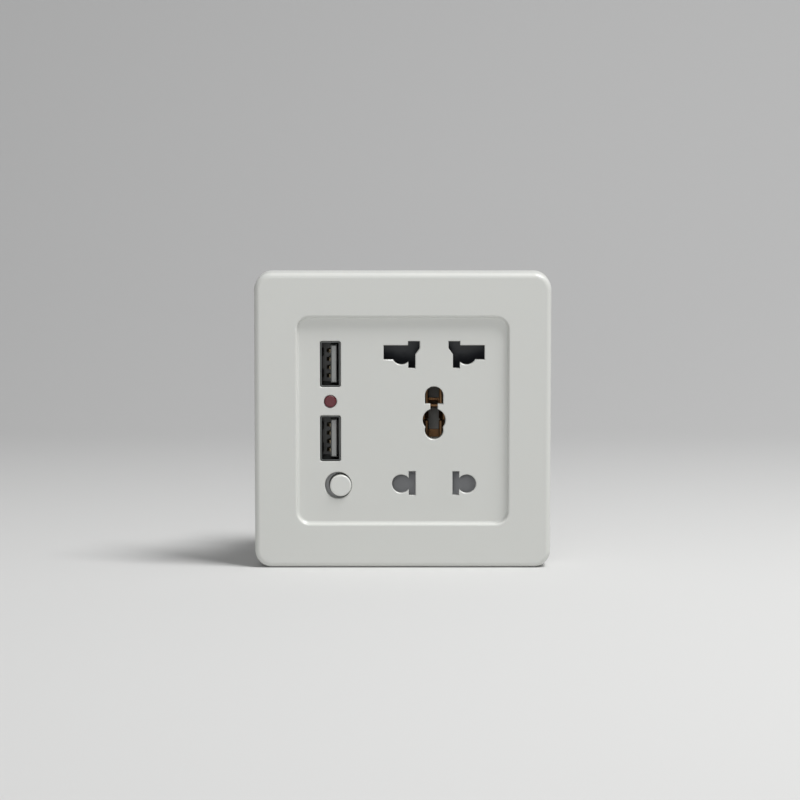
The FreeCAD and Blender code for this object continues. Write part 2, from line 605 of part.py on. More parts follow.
def shutter(s):
    """A wedge that the pins push sideways against its spring."""
    way = s["way"]
    edge, crest, back = s["edge"], s["crest"], s["back"]
    x0, x1 = OUTLET_X - s["half"], OUTLET_X + s["half"]
    wedge = prism([V(x0, SHUTTER_REAR_Y, edge), V(x0, SHUTTER_REAR_Y, back),
                   V(x0, SHUTTER_FRONT_Y, back), V(x0, SHUTTER_FRONT_Y, crest),
                   V(x0, SHUTTER_REAR_Y - SHUTTER_EDGE, edge)], V(x1 - x0, 0, 0))
    fork0, fork1 = sorted((edge - way, crest - RAIL_WALL * way))
    wedge = wedge.cut(beside_outlet((-FORK_HALF, FORK_HALF, fork0, fork1), SHUTTER_FRONT_Y - OVER, OVER))
    tab0, tab1 = sorted((edge + way, back))
    tab = beside_outlet((s["half"] - LAP, s["half"] + TAB_WIDTH, tab0, tab1), TAB_Y, SHUTTER_REAR_Y)
    peg0, peg1 = sorted((back - LAP * way, back + SHUTTER_PEG * way))
    return union([wedge, tab, mirrored(tab), rod_z(SHUTTER_PEG_RADIUS, peg0, peg1, OUTLET_X, SPRING_Y)])


def shutter_spring(s):
    low, high = sorted((s["back"], SPRING_WALL_Z * s["way"]))
    spring = coil(SPRING_MEAN_RADIUS, SPRING_WIRE_RADIUS, high - low, SPRING_TURNS)
    return spring.translate(V(OUTLET_X, SPRING_Y, low))


# Housing

def terminal_places():
    """Name, x, z and which way is out for each terminal."""
    return [("live", OUTLET_X - TERMINAL_OFFSET, TERMINAL_Z, 1),
            ("neutral", OUTLET_X + TERMINAL_OFFSET, TERMINAL_Z, 1),
            ("earth", OUTLET_X, -TERMINAL_Z, -1)]


def contact_wells(grow, y0, y1):
    """The five contact wells, larger all round by grow."""
    sides = both_sides([beside_outlet(wider(area, grow), y0, y1) for area in (THREE_WELL, TWO_WELL)])
    return sides + [beside_outlet(wider(EARTH_WELL, grow), y0, y1)]


def bay_area(x, way, wall):
    """Extent of one terminal bay, larger by wall at its sides and inner end."""
    inner_end = way * (TERMINAL_Z - TERMINAL_LENGTH / 2 - SIDE_GAP - wall)
    z0, z1 = sorted((inner_end, way * (HOUSING_HALF_Z + OVER)))
    return x - BAY_HALF - wall, x + BAY_HALF + wall, z0, z1


def socket_housing():
    ring = rounded(0, 0, 2 * HOUSING_HALF_X, 2 * HOUSING_HALF_Z, HOUSING_RADIUS, SEAT_Y, HOUSING_REAR_Y)
    rear = edges_at(ring, HOUSING_REAR_Y)
    ring = ring.makeChamfer(LAP, rear)
    shell = ring.cut(centred(0, 0, INNER_X, INNER_Z, SEAT_Y - OVER, HOUSING_REAR_Y + OVER))
    reach_x, reach_z = INNER_X + LAP, INNER_Z + LAP
    partition = block(PARTITION_X0, PARTITION_X1, SEAT_Y, HOUSING_REAR_Y - LAP, -reach_z, reach_z)
    middle = block(PARTITION_X1 - LAP, reach_x, PLATE_Y0, PLATE_Y1, -reach_z, reach_z)
    shelves = [block(SHELF_X, PARTITION_X0 + LAP, PLATE_Y0, PLATE_Y1,
                     *sorted((way * SHELF_Z, way * reach_z))) for way in (-1, 1)]
    ledge = block(-reach_x, PARTITION_X0 + LAP, LEDGE_Y, HATCH_Y, -reach_z, reach_z)
    ledge = ledge.cut(block(-INNER_X + LEDGE, PARTITION_X0 - LEDGE, LEDGE_Y - OVER, HATCH_Y + OVER,
                            -INNER_Z + LEDGE, INNER_Z - LEDGE))
    rail_x0 = BOARD_X1 + SEAT_GAP
    rails = [block(rail_x0, rail_x0 + OVER, SHELL_REAR_Y + PARTITION, LEDGE_Y + LAP,
                   *sorted((way * (BOARD_HALF_Z - LAP), way * reach_z))) for way in (-1, 1)]
    outer = contact_wells(WELL_WALL, SEAT_Y, PLATE_Y0 + LAP)
    shape = union([shell, partition, middle, ledge] + outer + shelves + rails)
    cuts = contact_wells(0, SEAT_Y - OVER, PLATE_Y0)
    for name, x, z, way in terminal_places():
        x0, x1, z0, z1 = bay_area(x, way, SHROUD_WALL + SEAT_GAP)
        z0, z1 = sorted((way * (INNER_Z - LAP), way * (HOUSING_HALF_Z + OVER)))
        cuts.append(block(x0, x1, PLATE_Y1, HOUSING_REAR_Y + OVER, z0, z1))
        cuts.append(rod_y(STUD_RADIUS + FIT_GAP, PLATE_Y0 - OVER, PLATE_Y1 + OVER, x, z))
    cuts += [rod_y(ASSEMBLY_RADIUS + BOARD_GAP, PLATE_Y0 - OVER, PLATE_Y1 + OVER, x, z)
             for x, z in PILLARS]
    cuts += bus_blanks(SEAT_GAP)
    cuts += [rod_x(LEAD_PASSAGE, PARTITION_X0 - OVER, PARTITION_X1 + OVER, y, z)
             for y, z in (LIVE_LEAD, NEUTRAL_LEAD)]
    return cut(shape, cuts)


def terminal_shroud():
    """Walls round the terminals, tied by a spine, that sit on the housing's middle wall."""
    front, rear = PLATE_Y1 + SEAT_GAP, HOUSING_REAR_Y
    walls, rooms = [], []
    for name, x, z, way in terminal_places():
        x0, x1, z0, z1 = bay_area(x, way, SHROUD_WALL)
        z0, z1 = sorted((z1 if way < 0 else z0, way * HOUSING_HALF_Z))
        walls.append(block(x0, x1, front, rear, z0, z1))
        x0, x1, z0, z1 = bay_area(x, way, 0)
        rooms.append(block(x0, x1, front - OVER, rear + OVER, z0, z1))
    rib_rear = rear - SHROUD_RIB_DROP
    end = TERMINAL_OFFSET + BAY_HALF
    bay_end = TERMINAL_Z - TERMINAL_LENGTH / 2 - SIDE_GAP
    ribs = [beside_outlet((-end, end, bay_end - SHROUD_WALL, bay_end), front, rib_rear),
            beside_outlet((-end, end, SHROUD_SPINE_Z - SHROUD_RIB / 2, SHROUD_SPINE_Z + SHROUD_RIB / 2),
                          front, rib_rear),
            beside_outlet((-SHROUD_RIB / 2, SHROUD_RIB / 2, -bay_end, bay_end), front, rib_rear)]
    return cut(union(walls + ribs), rooms)


def module_rear_cover():
    x0, x1 = -INNER_X + SEAT_GAP, PARTITION_X0 - SEAT_GAP
    middle = (x0 + x1) / 2
    plate = rounded(middle, 0, x1 - x0, 2 * (INNER_Z - SEAT_GAP), HOUSING_RADIUS / 2,
                    HATCH_Y, HOUSING_REAR_Y)
    cuts = []
    for row in (-1, 1):
        for index in range(VENT_COUNT):
            x = middle + (index - (VENT_COUNT - 1) / 2) * VENT_PITCH
            cuts.append(rounded(x, row * VENT_Z, VENT_WIDTH, VENT_LENGTH, VENT_RADIUS,
                                HATCH_Y - OVER, HOUSING_REAR_Y + OVER))
    cuts.append(rounded(middle, 0, LABEL_WIDTH, LABEL_HEIGHT, OVER, HOUSING_REAR_Y - LABEL_DEPTH,
                        HOUSING_REAR_Y + OVER))
    return cut(plate, cuts)


def assembly_screw(x, z):
    top = PLATE_Y1 + ASSEMBLY_HEAD
    head = rod_y(ASSEMBLY_HEAD_RADIUS, PLATE_Y1, top, x, z)
    head = head.makeFillet(ASSEMBLY_TIP / 2, edges_at(head, top))
    shank = rod_y(ASSEMBLY_RADIUS, ASSEMBLY_END_Y, PLATE_Y1 + LAP, x, z)
    tip = Part.makeCone(ASSEMBLY_RADIUS / 3, ASSEMBLY_RADIUS, ASSEMBLY_TIP,
                        V(x, ASSEMBLY_END_Y - ASSEMBLY_TIP, z), V(0, 1, 0))
    bottom = top - ASSEMBLY_RECESS_DEPTH
    recess = [centred(x, z, ASSEMBLY_RECESS_HALF, ASSEMBLY_RECESS / 2, bottom, top + OVER),
              centred(x, z, ASSEMBLY_RECESS / 2, ASSEMBLY_RECESS_HALF, bottom, top + OVER)]
    return union([head, shank, tip]).cut(union(recess))


# Current path

def bus_blanks(grow):
    """Live, neutral and earth strips without their holes, larger all round by grow."""
    neutral = beside_outlet(wider((BUS_IN, BUS_OUT, BUS_LOW, BUS_HIGH), grow), BUS_Y0, PLATE_Y0)
    narrow = wider((-EARTH_BUS_HALF, EARTH_BUS_HALF, -BUS_HIGH, 0), grow)
    broad = wider((-EARTH_FRAME_HALF, EARTH_FRAME_HALF, EARTH_JAW_LOW, EARTH_JAW_HIGH), grow)
    earth = union([beside_outlet(area, BUS_Y0, PLATE_Y0) for area in (narrow, broad)])
    blanks = []
    for strip, (name, x, z, way) in zip([mirrored(neutral), neutral, earth], terminal_places()):
        blanks.append(union([strip, rod_y(TERMINAL_PAD_RADIUS + grow, BUS_Y0, PLATE_Y0, x, z)]))
    return blanks


def earth_windows():
    return [beside_outlet((-EARTH_WINDOW_HALF, EARTH_WINDOW_HALF, z0, z1),
                          BUS_Y0 - 2 * OVER, PLATE_Y0 + OVER) for z0, z1 in EARTH_WINDOWS]


def buses():
    shapes = {}
    for blank, (name, x, z, way) in zip(bus_blanks(0), terminal_places()):
        shapes[name] = blank.cut(rod_y(STUD_RADIUS, BUS_Y0 - OVER, PLATE_Y0 + OVER, x, z))
    shapes["earth"] = cut(shapes["earth"], earth_windows())
    return shapes


def leaf(half_gaps, width, start, horizontal):
    """A bent strip. Its offset is along Z, or along X when horizontal."""
    base, grip, mouth = half_gaps
    near = [(BUS_Y0 - JAW_BASE / 2, base), (LEAF_HEEL_Y, base), (LEAF_GRIP_Y, grip), (LEAF_MOUTH_Y, mouth)]
    far = [(y, offset + LEAF) for y, offset in reversed(near)]
    if horizontal:
        return prism([V(offset, y, start) for y, offset in near + far], V(0, 0, width))
    return prism([V(start, y, offset) for y, offset in near + far], V(width, 0, 0))


def pin_leaves(z, width, start):
    """Leaves over and under a pin at height z."""
    over = leaf(PIN_LEAF, width, start, False)
    under = over.mirror(V(0, 0, 0), V(0, 0, 1))
    return [over.translate(V(0, 0, z)), under.translate(V(0, 0, z))]


def side_leaves(half_gaps, x, z0, height):
    """Leaves left and right of a blade or pin at x."""
    right = leaf(half_gaps, height, z0, True)
    left = right.mirror(V(0, 0, 0), V(1, 0, 0))
    return [right.translate(V(x, 0, 0)), left.translate(V(x, 0, 0))]


def line_jaw(z, blade_offset, pin_end, riveted):
    """A right hand jaw: a base on the strip, pin leaves and blade leaves."""
    y0, y1 = BUS_Y0 - JAW_BASE, BUS_Y0
    low, high = z - JAW_HALF_Z, z + JAW_HALF_Z
    base = beside_outlet((blade_offset - BLADE_LEAF[0] - LEAF, pin_end, low, high), y0, y1)
    shape = union([base] + pin_leaves(z, pin_end - JAW_PIN_X, OUTLET_X + JAW_PIN_X)
                  + side_leaves(BLADE_LEAF, OUTLET_X + blade_offset, low, high - low))
    if riveted:
        shape = shape.cut(rod_y(STUD_RADIUS, y0 - OVER, y1 + OVER, OUTLET_X + TERMINAL_OFFSET, TERMINAL_Z))
    return shape


def earth_jaw():
    """Three fingers on each side of the pin, and a leaf that presses on it from above."""
    half = EARTH_LEAF[0] + LEAF
    base = beside_outlet((-half, half, EARTH_JAW_LOW, EARTH_JAW_HIGH), BUS_Y0 - JAW_BASE, BUS_Y0)
    sides = side_leaves(EARTH_LEAF, OUTLET_X, EARTH_JAW_LOW, EARTH_JAW_HIGH - EARTH_JAW_LOW)
    cuts = [beside_outlet((-2 * half, 2 * half, z, z + EARTH_SLIT), LEAF_MOUTH_Y - OVER, LEAF_HEEL_Y + OVER)
            for z in EARTH_SLITS]
    for z0, z1 in ((EARTH_JAW_LOW - OVER, EARTH_SLITS[0]), (EARTH_SLITS[1], EARTH_JAW_HIGH + OVER)):
        cuts.append(beside_outlet((-2 * half, 2 * half, z0, z1), LEAF_MOUTH_Y - OVER, EARTH_FINGER_Y))
    top = leaf(EARTH_TOP_LEAF, 2 * TOP_LEAF_HALF, OUTLET_X - TOP_LEAF_HALF, False)
    top = top.cut(beside_outlet((-half, half, 0, EARTH_JAW_HIGH), LEAF_MOUTH_Y - OVER, LEAF_MOUTH_Y + OVER))
    cuts += earth_windows()
    return union([cut(union([base] + sides), cuts), top])


def terminal(x, z, head_front):
    """A block with its wire bore, its clamp thread and the stud riveted through the strip."""
    body = centred(x, z, TERMINAL_WIDTH / 2, TERMINAL_LENGTH / 2, PLATE_Y1, TERMINAL_REAR_Y)
    body = body.makeChamfer(TERMINAL_EDGE, edges_along_y(body))
    reach = TERMINAL_LENGTH / 2 + OVER
    body = body.cut(rod_z(WIRE_RADIUS, z - reach, z + reach, x, WIRE_Y))
    body = body.cut(rod_y(CLAMP_RADIUS + FIT_GAP, WIRE_Y, TERMINAL_REAR_Y + OVER, x, z))
    stud = rod_y(STUD_RADIUS, head_front + STUD_HEAD / 2, PLATE_Y1 + LAP / 2, x, z)
    head = rod_y(STUD_HEAD_RADIUS, head_front, head_front + STUD_HEAD, x, z)
    return union([body, stud, head])


def clamp_screw(x, z):
    tip, top = WIRE_Y + WIRE_RADIUS, CLAMP_HEAD_Y + CLAMP_HEAD
    shank = rod_y(CLAMP_RADIUS, tip, CLAMP_HEAD_Y + LAP, x, z)
    shank = shank.makeChamfer(TERMINAL_EDGE, edges_at(shank, tip))
    head = rod_y(CLAMP_HEAD_RADIUS, CLAMP_HEAD_Y, top, x, z)
    head = head.makeFillet(TERMINAL_EDGE, edges_at(head, top))
    bottom = top - CLAMP_SLOT_DEPTH
    slot = centred(x, z, CLAMP_HEAD_RADIUS + OVER, CLAMP_SLOT / 2, bottom, top + OVER)
    cross = centred(x, z, CLAMP_SLOT / 2, CLAMP_CROSS / 2, bottom - LAP / 2, top + OVER)
    return union([head, shank]).cut(union([slot, cross]))


# Ports

def usb_shell(z):
    outer = rounded(PORT_X, z, SHELL_WIDTH, SHELL_HEIGHT, SHELL_RADIUS, SHELL_FRONT_Y, SHELL_REAR_Y)
    inner = rounded(PORT_X, z, SHELL_WIDTH - 2 * SHELL_WALL, SHELL_HEIGHT - 2 * SHELL_WALL,
                    SHELL_RADIUS / 2, SHELL_FRONT_Y - OVER, SHELL_REAR_Y + OVER)
    x0, x1 = PORT_X + SHELL_WIDTH / 4, PORT_X + SHELL_WIDTH
    half = LATCH_WIDTH / 2
    slits = []
    for middle in (z - LATCH_STEP, z + LATCH_STEP):
        low, high = middle - half, middle + half
        rear = LATCH_Y + LATCH_LENGTH
        slits.append(block(x0, x1, LATCH_Y, rear, low - LATCH_SLIT, low))
        slits.append(block(x0, x1, LATCH_Y, rear, high, high + LATCH_SLIT))
        slits.append(block(x0, x1, LATCH_Y, LATCH_Y + LATCH_SLIT, low - LATCH_SLIT, high + LATCH_SLIT))
    return outer.cut(inner).cut(union(slits[:3])).cut(union(slits[3:]))


def usb_tongue(z):
    width, height = SHELL_WIDTH - 2 * SHELL_WALL, SHELL_HEIGHT - 2 * SHELL_WALL
    base = rounded(PORT_X, z, width, height, SHELL_RADIUS / 2, TONGUE_BASE_Y, SHELL_REAR_Y)
    tongue = centred(TONGUE_X, z, TONGUE_WIDTH / 2, TONGUE_HEIGHT / 2, TONGUE_FRONT_Y, TONGUE_BASE_Y + LAP)
    return union([base, tongue.makeChamfer(TONGUE_EDGE, edges_at(tongue, TONGUE_FRONT_Y))])


def usb_contacts(z):
    """Four flat springs that lie on the tongue's left face."""
    left = TONGUE_X - TONGUE_WIDTH / 2
    strips = []
    for index in range(CONTACT_COUNT):
        middle = z + (index - (CONTACT_COUNT - 1) / 2) * CONTACT_PITCH
        strips.append(centred(left - CONTACT_THICKNESS / 2, middle,
                              CONTACT_THICKNESS / 2, CONTACT_WIDTH / 2,
                              TONGUE_FRONT_Y + CONTACT_SETBACK, TONGUE_BASE_Y))
    return Part.makeCompound(strips)


# Lamp, switch and button

def indicator_lens():
    front = FIELD_Y - LAMP_PROUD
    rear = front + LAMP_LENGTH
    lens = rod_y(LAMP_RADIUS, front, rear, PORT_X, LAMP_Z)
    lens = lens.makeFillet(LAMP_DOME, edges_at(lens, front))
    flange = rod_y(LAMP_RADIUS + LAMP_FLANGE, rear - LAMP_FLANGE / 2, rear + LAMP_FLANGE_DEPTH,
                   PORT_X, LAMP_Z)
    return union([lens, flange])


def indicator_leads():
    """Two legs that run back and turn to the board."""
    half = LAMP_LEG / 2
    front = FIELD_Y - LAMP_PROUD + LAMP_LENGTH + LAMP_FLANGE_DEPTH
    legs = []
    for side in (-1, 1):
        z = LAMP_Z + side * LAMP_LEG_PITCH / 2
        leg = centred(PORT_X, z, half, half, front, LAMP_LEG_Y)
        foot = block(BOARD_X1, PORT_X + half, LAMP_LEG_Y - LAMP_LEG, LAMP_LEG_Y, z - half, z + half)
        legs.append(union([leg, foot]))
    return Part.makeCompound(legs)


def switch_body():
    half = SWITCH_SIZE / 2
    low, high = BUTTON_Z - half, BUTTON_Z + half
    body = block(BOARD_X1, BUTTON_X + half, SWITCH_FRONT_Y, SWITCH_REAR_Y, low, high)
    step = block(BOARD_X1 - OVER, BUTTON_X - half, SWITCH_FRONT_Y - OVER, BOARD_Y0,
                 low - OVER, high + OVER)
    bore = rod_y(SWITCH_BORE_RADIUS, SWITCH_FRONT_Y - OVER, SWITCH_REAR_Y - SWITCH_FLOOR,
                 BUTTON_X, BUTTON_Z)
    return cut(body, [step, bore])


def switch_lid():
    front = SWITCH_FRONT_Y - SWITCH_LID
    plate = rounded(BUTTON_X, BUTTON_Z, SWITCH_SIZE, SWITCH_SIZE, SWITCH_RADIUS, front, SWITCH_FRONT_Y)
    hole = BUTTON_STEM_RADIUS + SHELL_GAP
    return plate.cut(rod_y(hole, front - OVER, SWITCH_FRONT_Y + OVER, BUTTON_X, BUTTON_Z))


def power_button():
    cap_rear = BUTTON_FRONT_Y + BUTTON_CAP
    cap = rod_y(BUTTON_RADIUS, BUTTON_FRONT_Y, cap_rear, BUTTON_X, BUTTON_Z)
    cap = cap.makeFillet(BUTTON_EDGE, edges_at(cap, BUTTON_FRONT_Y))
    flange_front = SWITCH_FRONT_Y + SLIDE_GAP
    flange_rear = flange_front + BUTTON_FLANGE
    stem = rod_y(BUTTON_STEM_RADIUS, cap_rear - LAP, flange_front + LAP, BUTTON_X, BUTTON_Z)
    flange = rod_y(BUTTON_FLANGE_RADIUS, flange_front, flange_rear, BUTTON_X, BUTTON_Z)
    guide_rear = flange_front + BUTTON_GUIDE
    guide = rod_y(BUTTON_GUIDE_RADIUS, flange_rear - LAP, guide_rear, BUTTON_X, BUTTON_Z)
    return union([cap, stem, flange, guide])


def button_spring():
    low = SWITCH_FRONT_Y + SLIDE_GAP + BUTTON_FLANGE
    length = SWITCH_REAR_Y - SWITCH_FLOOR - low
    spring = coil(BUTTON_SPRING_RADIUS, BUTTON_SPRING_WIRE, length, BUTTON_SPRING_TURNS)
    spring.rotate(V(0, 0, 0), V(1, 0, 0), -90)
    return spring.translate(V(BUTTON_X, low, BUTTON_Z))


# Electronics behind the ports

def charger_board():
    return block(BOARD_X1 - BOARD, BOARD_X1, BOARD_Y0, LEDGE_Y, -BOARD_HALF_Z, BOARD_HALF_Z)


def core_block(x_grow, y_half, z_half):
    x0 = BOARD_X1 + CORE_STANDOFF
    return block(x0 - x_grow, x0 + CORE_DEPTH + x_grow, PARTS_Y - y_half, PARTS_Y + y_half,
                 CORE_Z - z_half, CORE_Z + z_half)


def transformer_core():
    """Two E halves closed around the middle leg."""
    half_y, half_z = CORE_WIDTH / 2, CORE_HEIGHT / 2
    windows = core_block(OVER, half_y - CORE_YOKE, half_z - CORE_YOKE)
    leg = core_block(2 * OVER, half_y - CORE_YOKE - CORE_WINDOW, half_z)
    return core_block(0, half_y, half_z).cut(windows.cut(leg))


def transformer_coil():
    half_y, half_z = CORE_WIDTH / 2 - CORE_YOKE, CORE_HEIGHT / 2 - CORE_YOKE
    ring = core_block(COIL_BULGE, half_y, half_z)
    ring = ring.cut(core_block(OVER, half_y - CORE_WINDOW, half_z + OVER))
    foot_x1 = BOARD_X1 + CORE_STANDOFF - COIL_BULGE + LAP / 2
    feet = []
    for side in (-1, 1):
        z0, z1 = sorted((CORE_Z + side * half_z, CORE_Z + side * (half_z - PARTITION)))
        feet.append(block(BOARD_X1, foot_x1, PARTS_Y - half_y, PARTS_Y + half_y, z0, z1))
    return union([ring] + feet)


def capacitor(s):
    y, z, end = s["y"], s["z"], BOARD_X1 + s["length"]
    can = rod_x(s["radius"], BOARD_X1, end, y, z)
    top = [e for e in can.Edges if abs(e.valueAt(e.FirstParameter).x - end) < 0.001
           and abs(e.valueAt(e.LastParameter).x - end) < 0.001]
    can = can.makeFillet(CAN_EDGE, top)
    bead0 = BOARD_X1 + CAN_BEAD_AT
    bead1 = bead0 + CAN_BEAD
    groove = rod_x(s["radius"] + OVER, bead0, bead1, y, z)
    groove = groove.cut(rod_x(s["radius"] - CAN_BEAD_DEPTH, bead0 - OVER, bead1 + OVER, y, z))
    return can.cut(groove)


def supply_lead(bus_x, place):
    """An insulated lead from the board to the front of a strip."""
    y, z = place
    parts = [rod_x(LEAD_RADIUS, BOARD_X1, bus_x, y, z), Part.makeSphere(LEAD_RADIUS, V(bus_x, y, z))]
    if BUS_Y0 - y > LEAD_RADIUS:
        parts.append(rod_y(LEAD_RADIUS, y, BUS_Y0, bus_x, z))
    return union(parts)


# Groups that are saved together

def save_body():
    save("front_cover", front_cover())
    save("mounting_frame", mounting_frame())
    save("socket_housing", socket_housing())
    save("terminal_shroud", terminal_shroud())
    save("module_rear_cover", module_rear_cover())
    for index, (x, z) in enumerate(PILLARS, 1):
        save("assembly_screw_" + str(index), assembly_screw(x, z))
    for name, sizes in (("three_pin", THREE), ("two_pin", TWO)):
        save("shutter_" + name, shutter(sizes))
        save("shutter_spring_" + name, shutter_spring(sizes))


def save_current_path():
    for name, shape in buses().items():
        save(name + "_bus", shape)
    three = line_jaw(TERMINAL_Z, BLADE_OFFSET, JAW_THREE_OUT, True)
    two = line_jaw(TWO_ROUND_Z, TWO_BLADE_OFFSET, JAW_TWO_OUT, False)
    for name, jaw in (("three_pin", three), ("two_pin", two)):
        save("neutral_jaw_" + name, jaw)
        save("live_jaw_" + name, mirrored(jaw))
    save("earth_jaw", earth_jaw())
    for name, x, z, way in terminal_places():
        seat = BUS_Y0 if name == "earth" else BUS_Y0 - JAW_BASE
        save(name + "_terminal", terminal(x, z, seat - STUD_HEAD))
        save(name + "_screw", clamp_screw(x, z))


def save_electronics():
    for name, z in PORT_Z.items():
        save("usb_shell_" + name, usb_shell(z))
        save("usb_tongue_" + name, usb_tongue(z))
        save("usb_contacts_" + name, usb_contacts(z))
    save("indicator_lens", indicator_lens())
    save("indicator_leads", indicator_leads())
    save("switch_body", switch_body())
    save("switch_lid", switch_lid())
    save("power_button", power_button())
    save("button_spring", button_spring())
    save("charger_board", charger_board())
    save("transformer_core", transformer_core())
    save("transformer_coil", transformer_coil())
    save("mains_capacitor", capacitor(MAINS_CAPACITOR))
    save("output_capacitor", capacitor(OUTPUT_CAPACITOR))
    strip = (BUS_IN + BUS_OUT) / 2
    save("supply_lead_live", supply_lead(OUTLET_X - strip, LIVE_LEAD))
    save("supply_lead_neutral", supply_lead(OUTLET_X + strip, NEUTRAL_LEAD))


os.makedirs("parts", exist_ok=True)
save_body()
save_current_path()
save_electronics()
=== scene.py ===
"""Looks of a universal wall socket with USB ports, an indicator and a power button.

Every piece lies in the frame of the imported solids: the wall is the plane Y = 0,
the front looks along -Y, +X is right and +Z is up. Blender works in metres, and
a name that ends in _mm holds millimetres.
"""

import logging
import math
from dataclasses import dataclass, field
from enum import Enum
from typing import Any

import bmesh
import bpy
from bmesh.types import BMesh
from bpy.types import Material, Mesh, Node, NodeSocket, NodeTree, Object
from mathutils import Matrix, Vector


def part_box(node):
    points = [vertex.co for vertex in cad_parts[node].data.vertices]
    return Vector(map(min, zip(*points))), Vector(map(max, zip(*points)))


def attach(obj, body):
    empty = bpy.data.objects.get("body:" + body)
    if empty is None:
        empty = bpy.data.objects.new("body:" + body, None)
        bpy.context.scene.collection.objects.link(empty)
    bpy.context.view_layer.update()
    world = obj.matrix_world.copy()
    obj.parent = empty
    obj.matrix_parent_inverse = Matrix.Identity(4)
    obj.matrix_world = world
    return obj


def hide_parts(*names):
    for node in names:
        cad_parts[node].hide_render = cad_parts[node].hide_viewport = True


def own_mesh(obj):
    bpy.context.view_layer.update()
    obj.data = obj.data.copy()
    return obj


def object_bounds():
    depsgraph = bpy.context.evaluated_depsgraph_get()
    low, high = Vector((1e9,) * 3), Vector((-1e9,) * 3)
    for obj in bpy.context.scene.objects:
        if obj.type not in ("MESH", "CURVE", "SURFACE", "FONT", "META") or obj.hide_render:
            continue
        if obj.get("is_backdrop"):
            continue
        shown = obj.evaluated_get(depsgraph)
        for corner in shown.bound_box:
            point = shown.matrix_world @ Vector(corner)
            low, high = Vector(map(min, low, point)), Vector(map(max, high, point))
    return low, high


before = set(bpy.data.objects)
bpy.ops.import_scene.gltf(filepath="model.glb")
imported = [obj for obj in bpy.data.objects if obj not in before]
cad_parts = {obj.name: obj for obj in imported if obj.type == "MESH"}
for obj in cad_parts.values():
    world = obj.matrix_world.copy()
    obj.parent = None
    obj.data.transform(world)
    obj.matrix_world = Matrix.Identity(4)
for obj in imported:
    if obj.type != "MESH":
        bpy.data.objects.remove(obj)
CAD_BOX = [list(corner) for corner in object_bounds()]

LOG = logging.getLogger("wall_socket")
MM = 0.001
Colour = tuple[float, float, float, float]
Pair = tuple[float, float]
Triple = tuple[float, float, float]
Outline = list[Pair]

# Corners closer than this are one, and faces that turn by less are one flat face
WELD_MM = 0.001
FLAT_DEG = 0.4
# Edges that turn by more than this stay crisp, unless a class says otherwise
CRISP_DEG = 32.0

# The broad pattern is this many grains wide, and roughness strays from its mean by this share along it
BROAD_GRAINS = 14.0
GLOSS_SPREAD = 0.12
# The pattern's strength where gloss and where tint start to follow it, and where both have followed it fully
GLOSS_FROM, TINT_FROM, PATTERN_TO = 0.3, 0.35, 0.7
# How strongly the fine grain tilts the surface, and how many looks round each point round off its edges
RELIEF = 0.6
EDGE_SAMPLES = 4
# Light goes this deep into a pale plastic, red a little further than blue
SKIN_MM = 0.6
SKIN_DEPTHS = (1.0, 0.9, 0.8)

# Points along each turn of a wound wire
POINTS_PER_TURN = 28


def linear(hex_colour: str) -> Colour:
    """Turns a colour as written on a swatch into the renderer's numbers.

    Args:
        hex_colour: an sRGB colour such as "#d4d5d1".

    Returns:
        The linear red, green and blue, and an alpha of 1.
    """
    channels = []
    for start in (1, 3, 5):
        value = int(hex_colour[start:start + 2], 16) / 255
        channels.append(value / 12.92 if value <= 0.04045 else ((value + 0.055) / 1.055) ** 2.4)
    return (channels[0], channels[1], channels[2], 1.0)


def add_node(tree: NodeTree, kind: str, settings: dict[str, Any] | None = None,
             inputs: dict[Any, Any] | None = None) -> Node:
    """Adds a node with its settings and links.

    Args:
        tree: the node tree to add to.
        kind: the node's type name.
        settings: attributes of the node itself.
        inputs: a value or an output socket for each input, by name or number.

    Returns:
        The new node.
    """
    node = tree.nodes.new(kind)
    for name, value in (settings or {}).items():
        setattr(node, name, value)
    for name, value in (inputs or {}).items():
        if isinstance(value, NodeSocket):
            tree.links.new(value, node.inputs[name])
        else:
            node.inputs[name].default_value = value
    return node


class Surface(Enum):
    """How a surface was made, and the scale that gives its pattern along X, Y and Z."""

    POLISHED = ("polished", (1.0, 1.0, 1.0))
    MOULDED = ("moulded", (1.0, 1.0, 1.0))
    ROLLED = ("rolled", (1.0, 1.0, 0.06))
    DRAWN = ("drawn", (0.2, 0.2, 1.0))


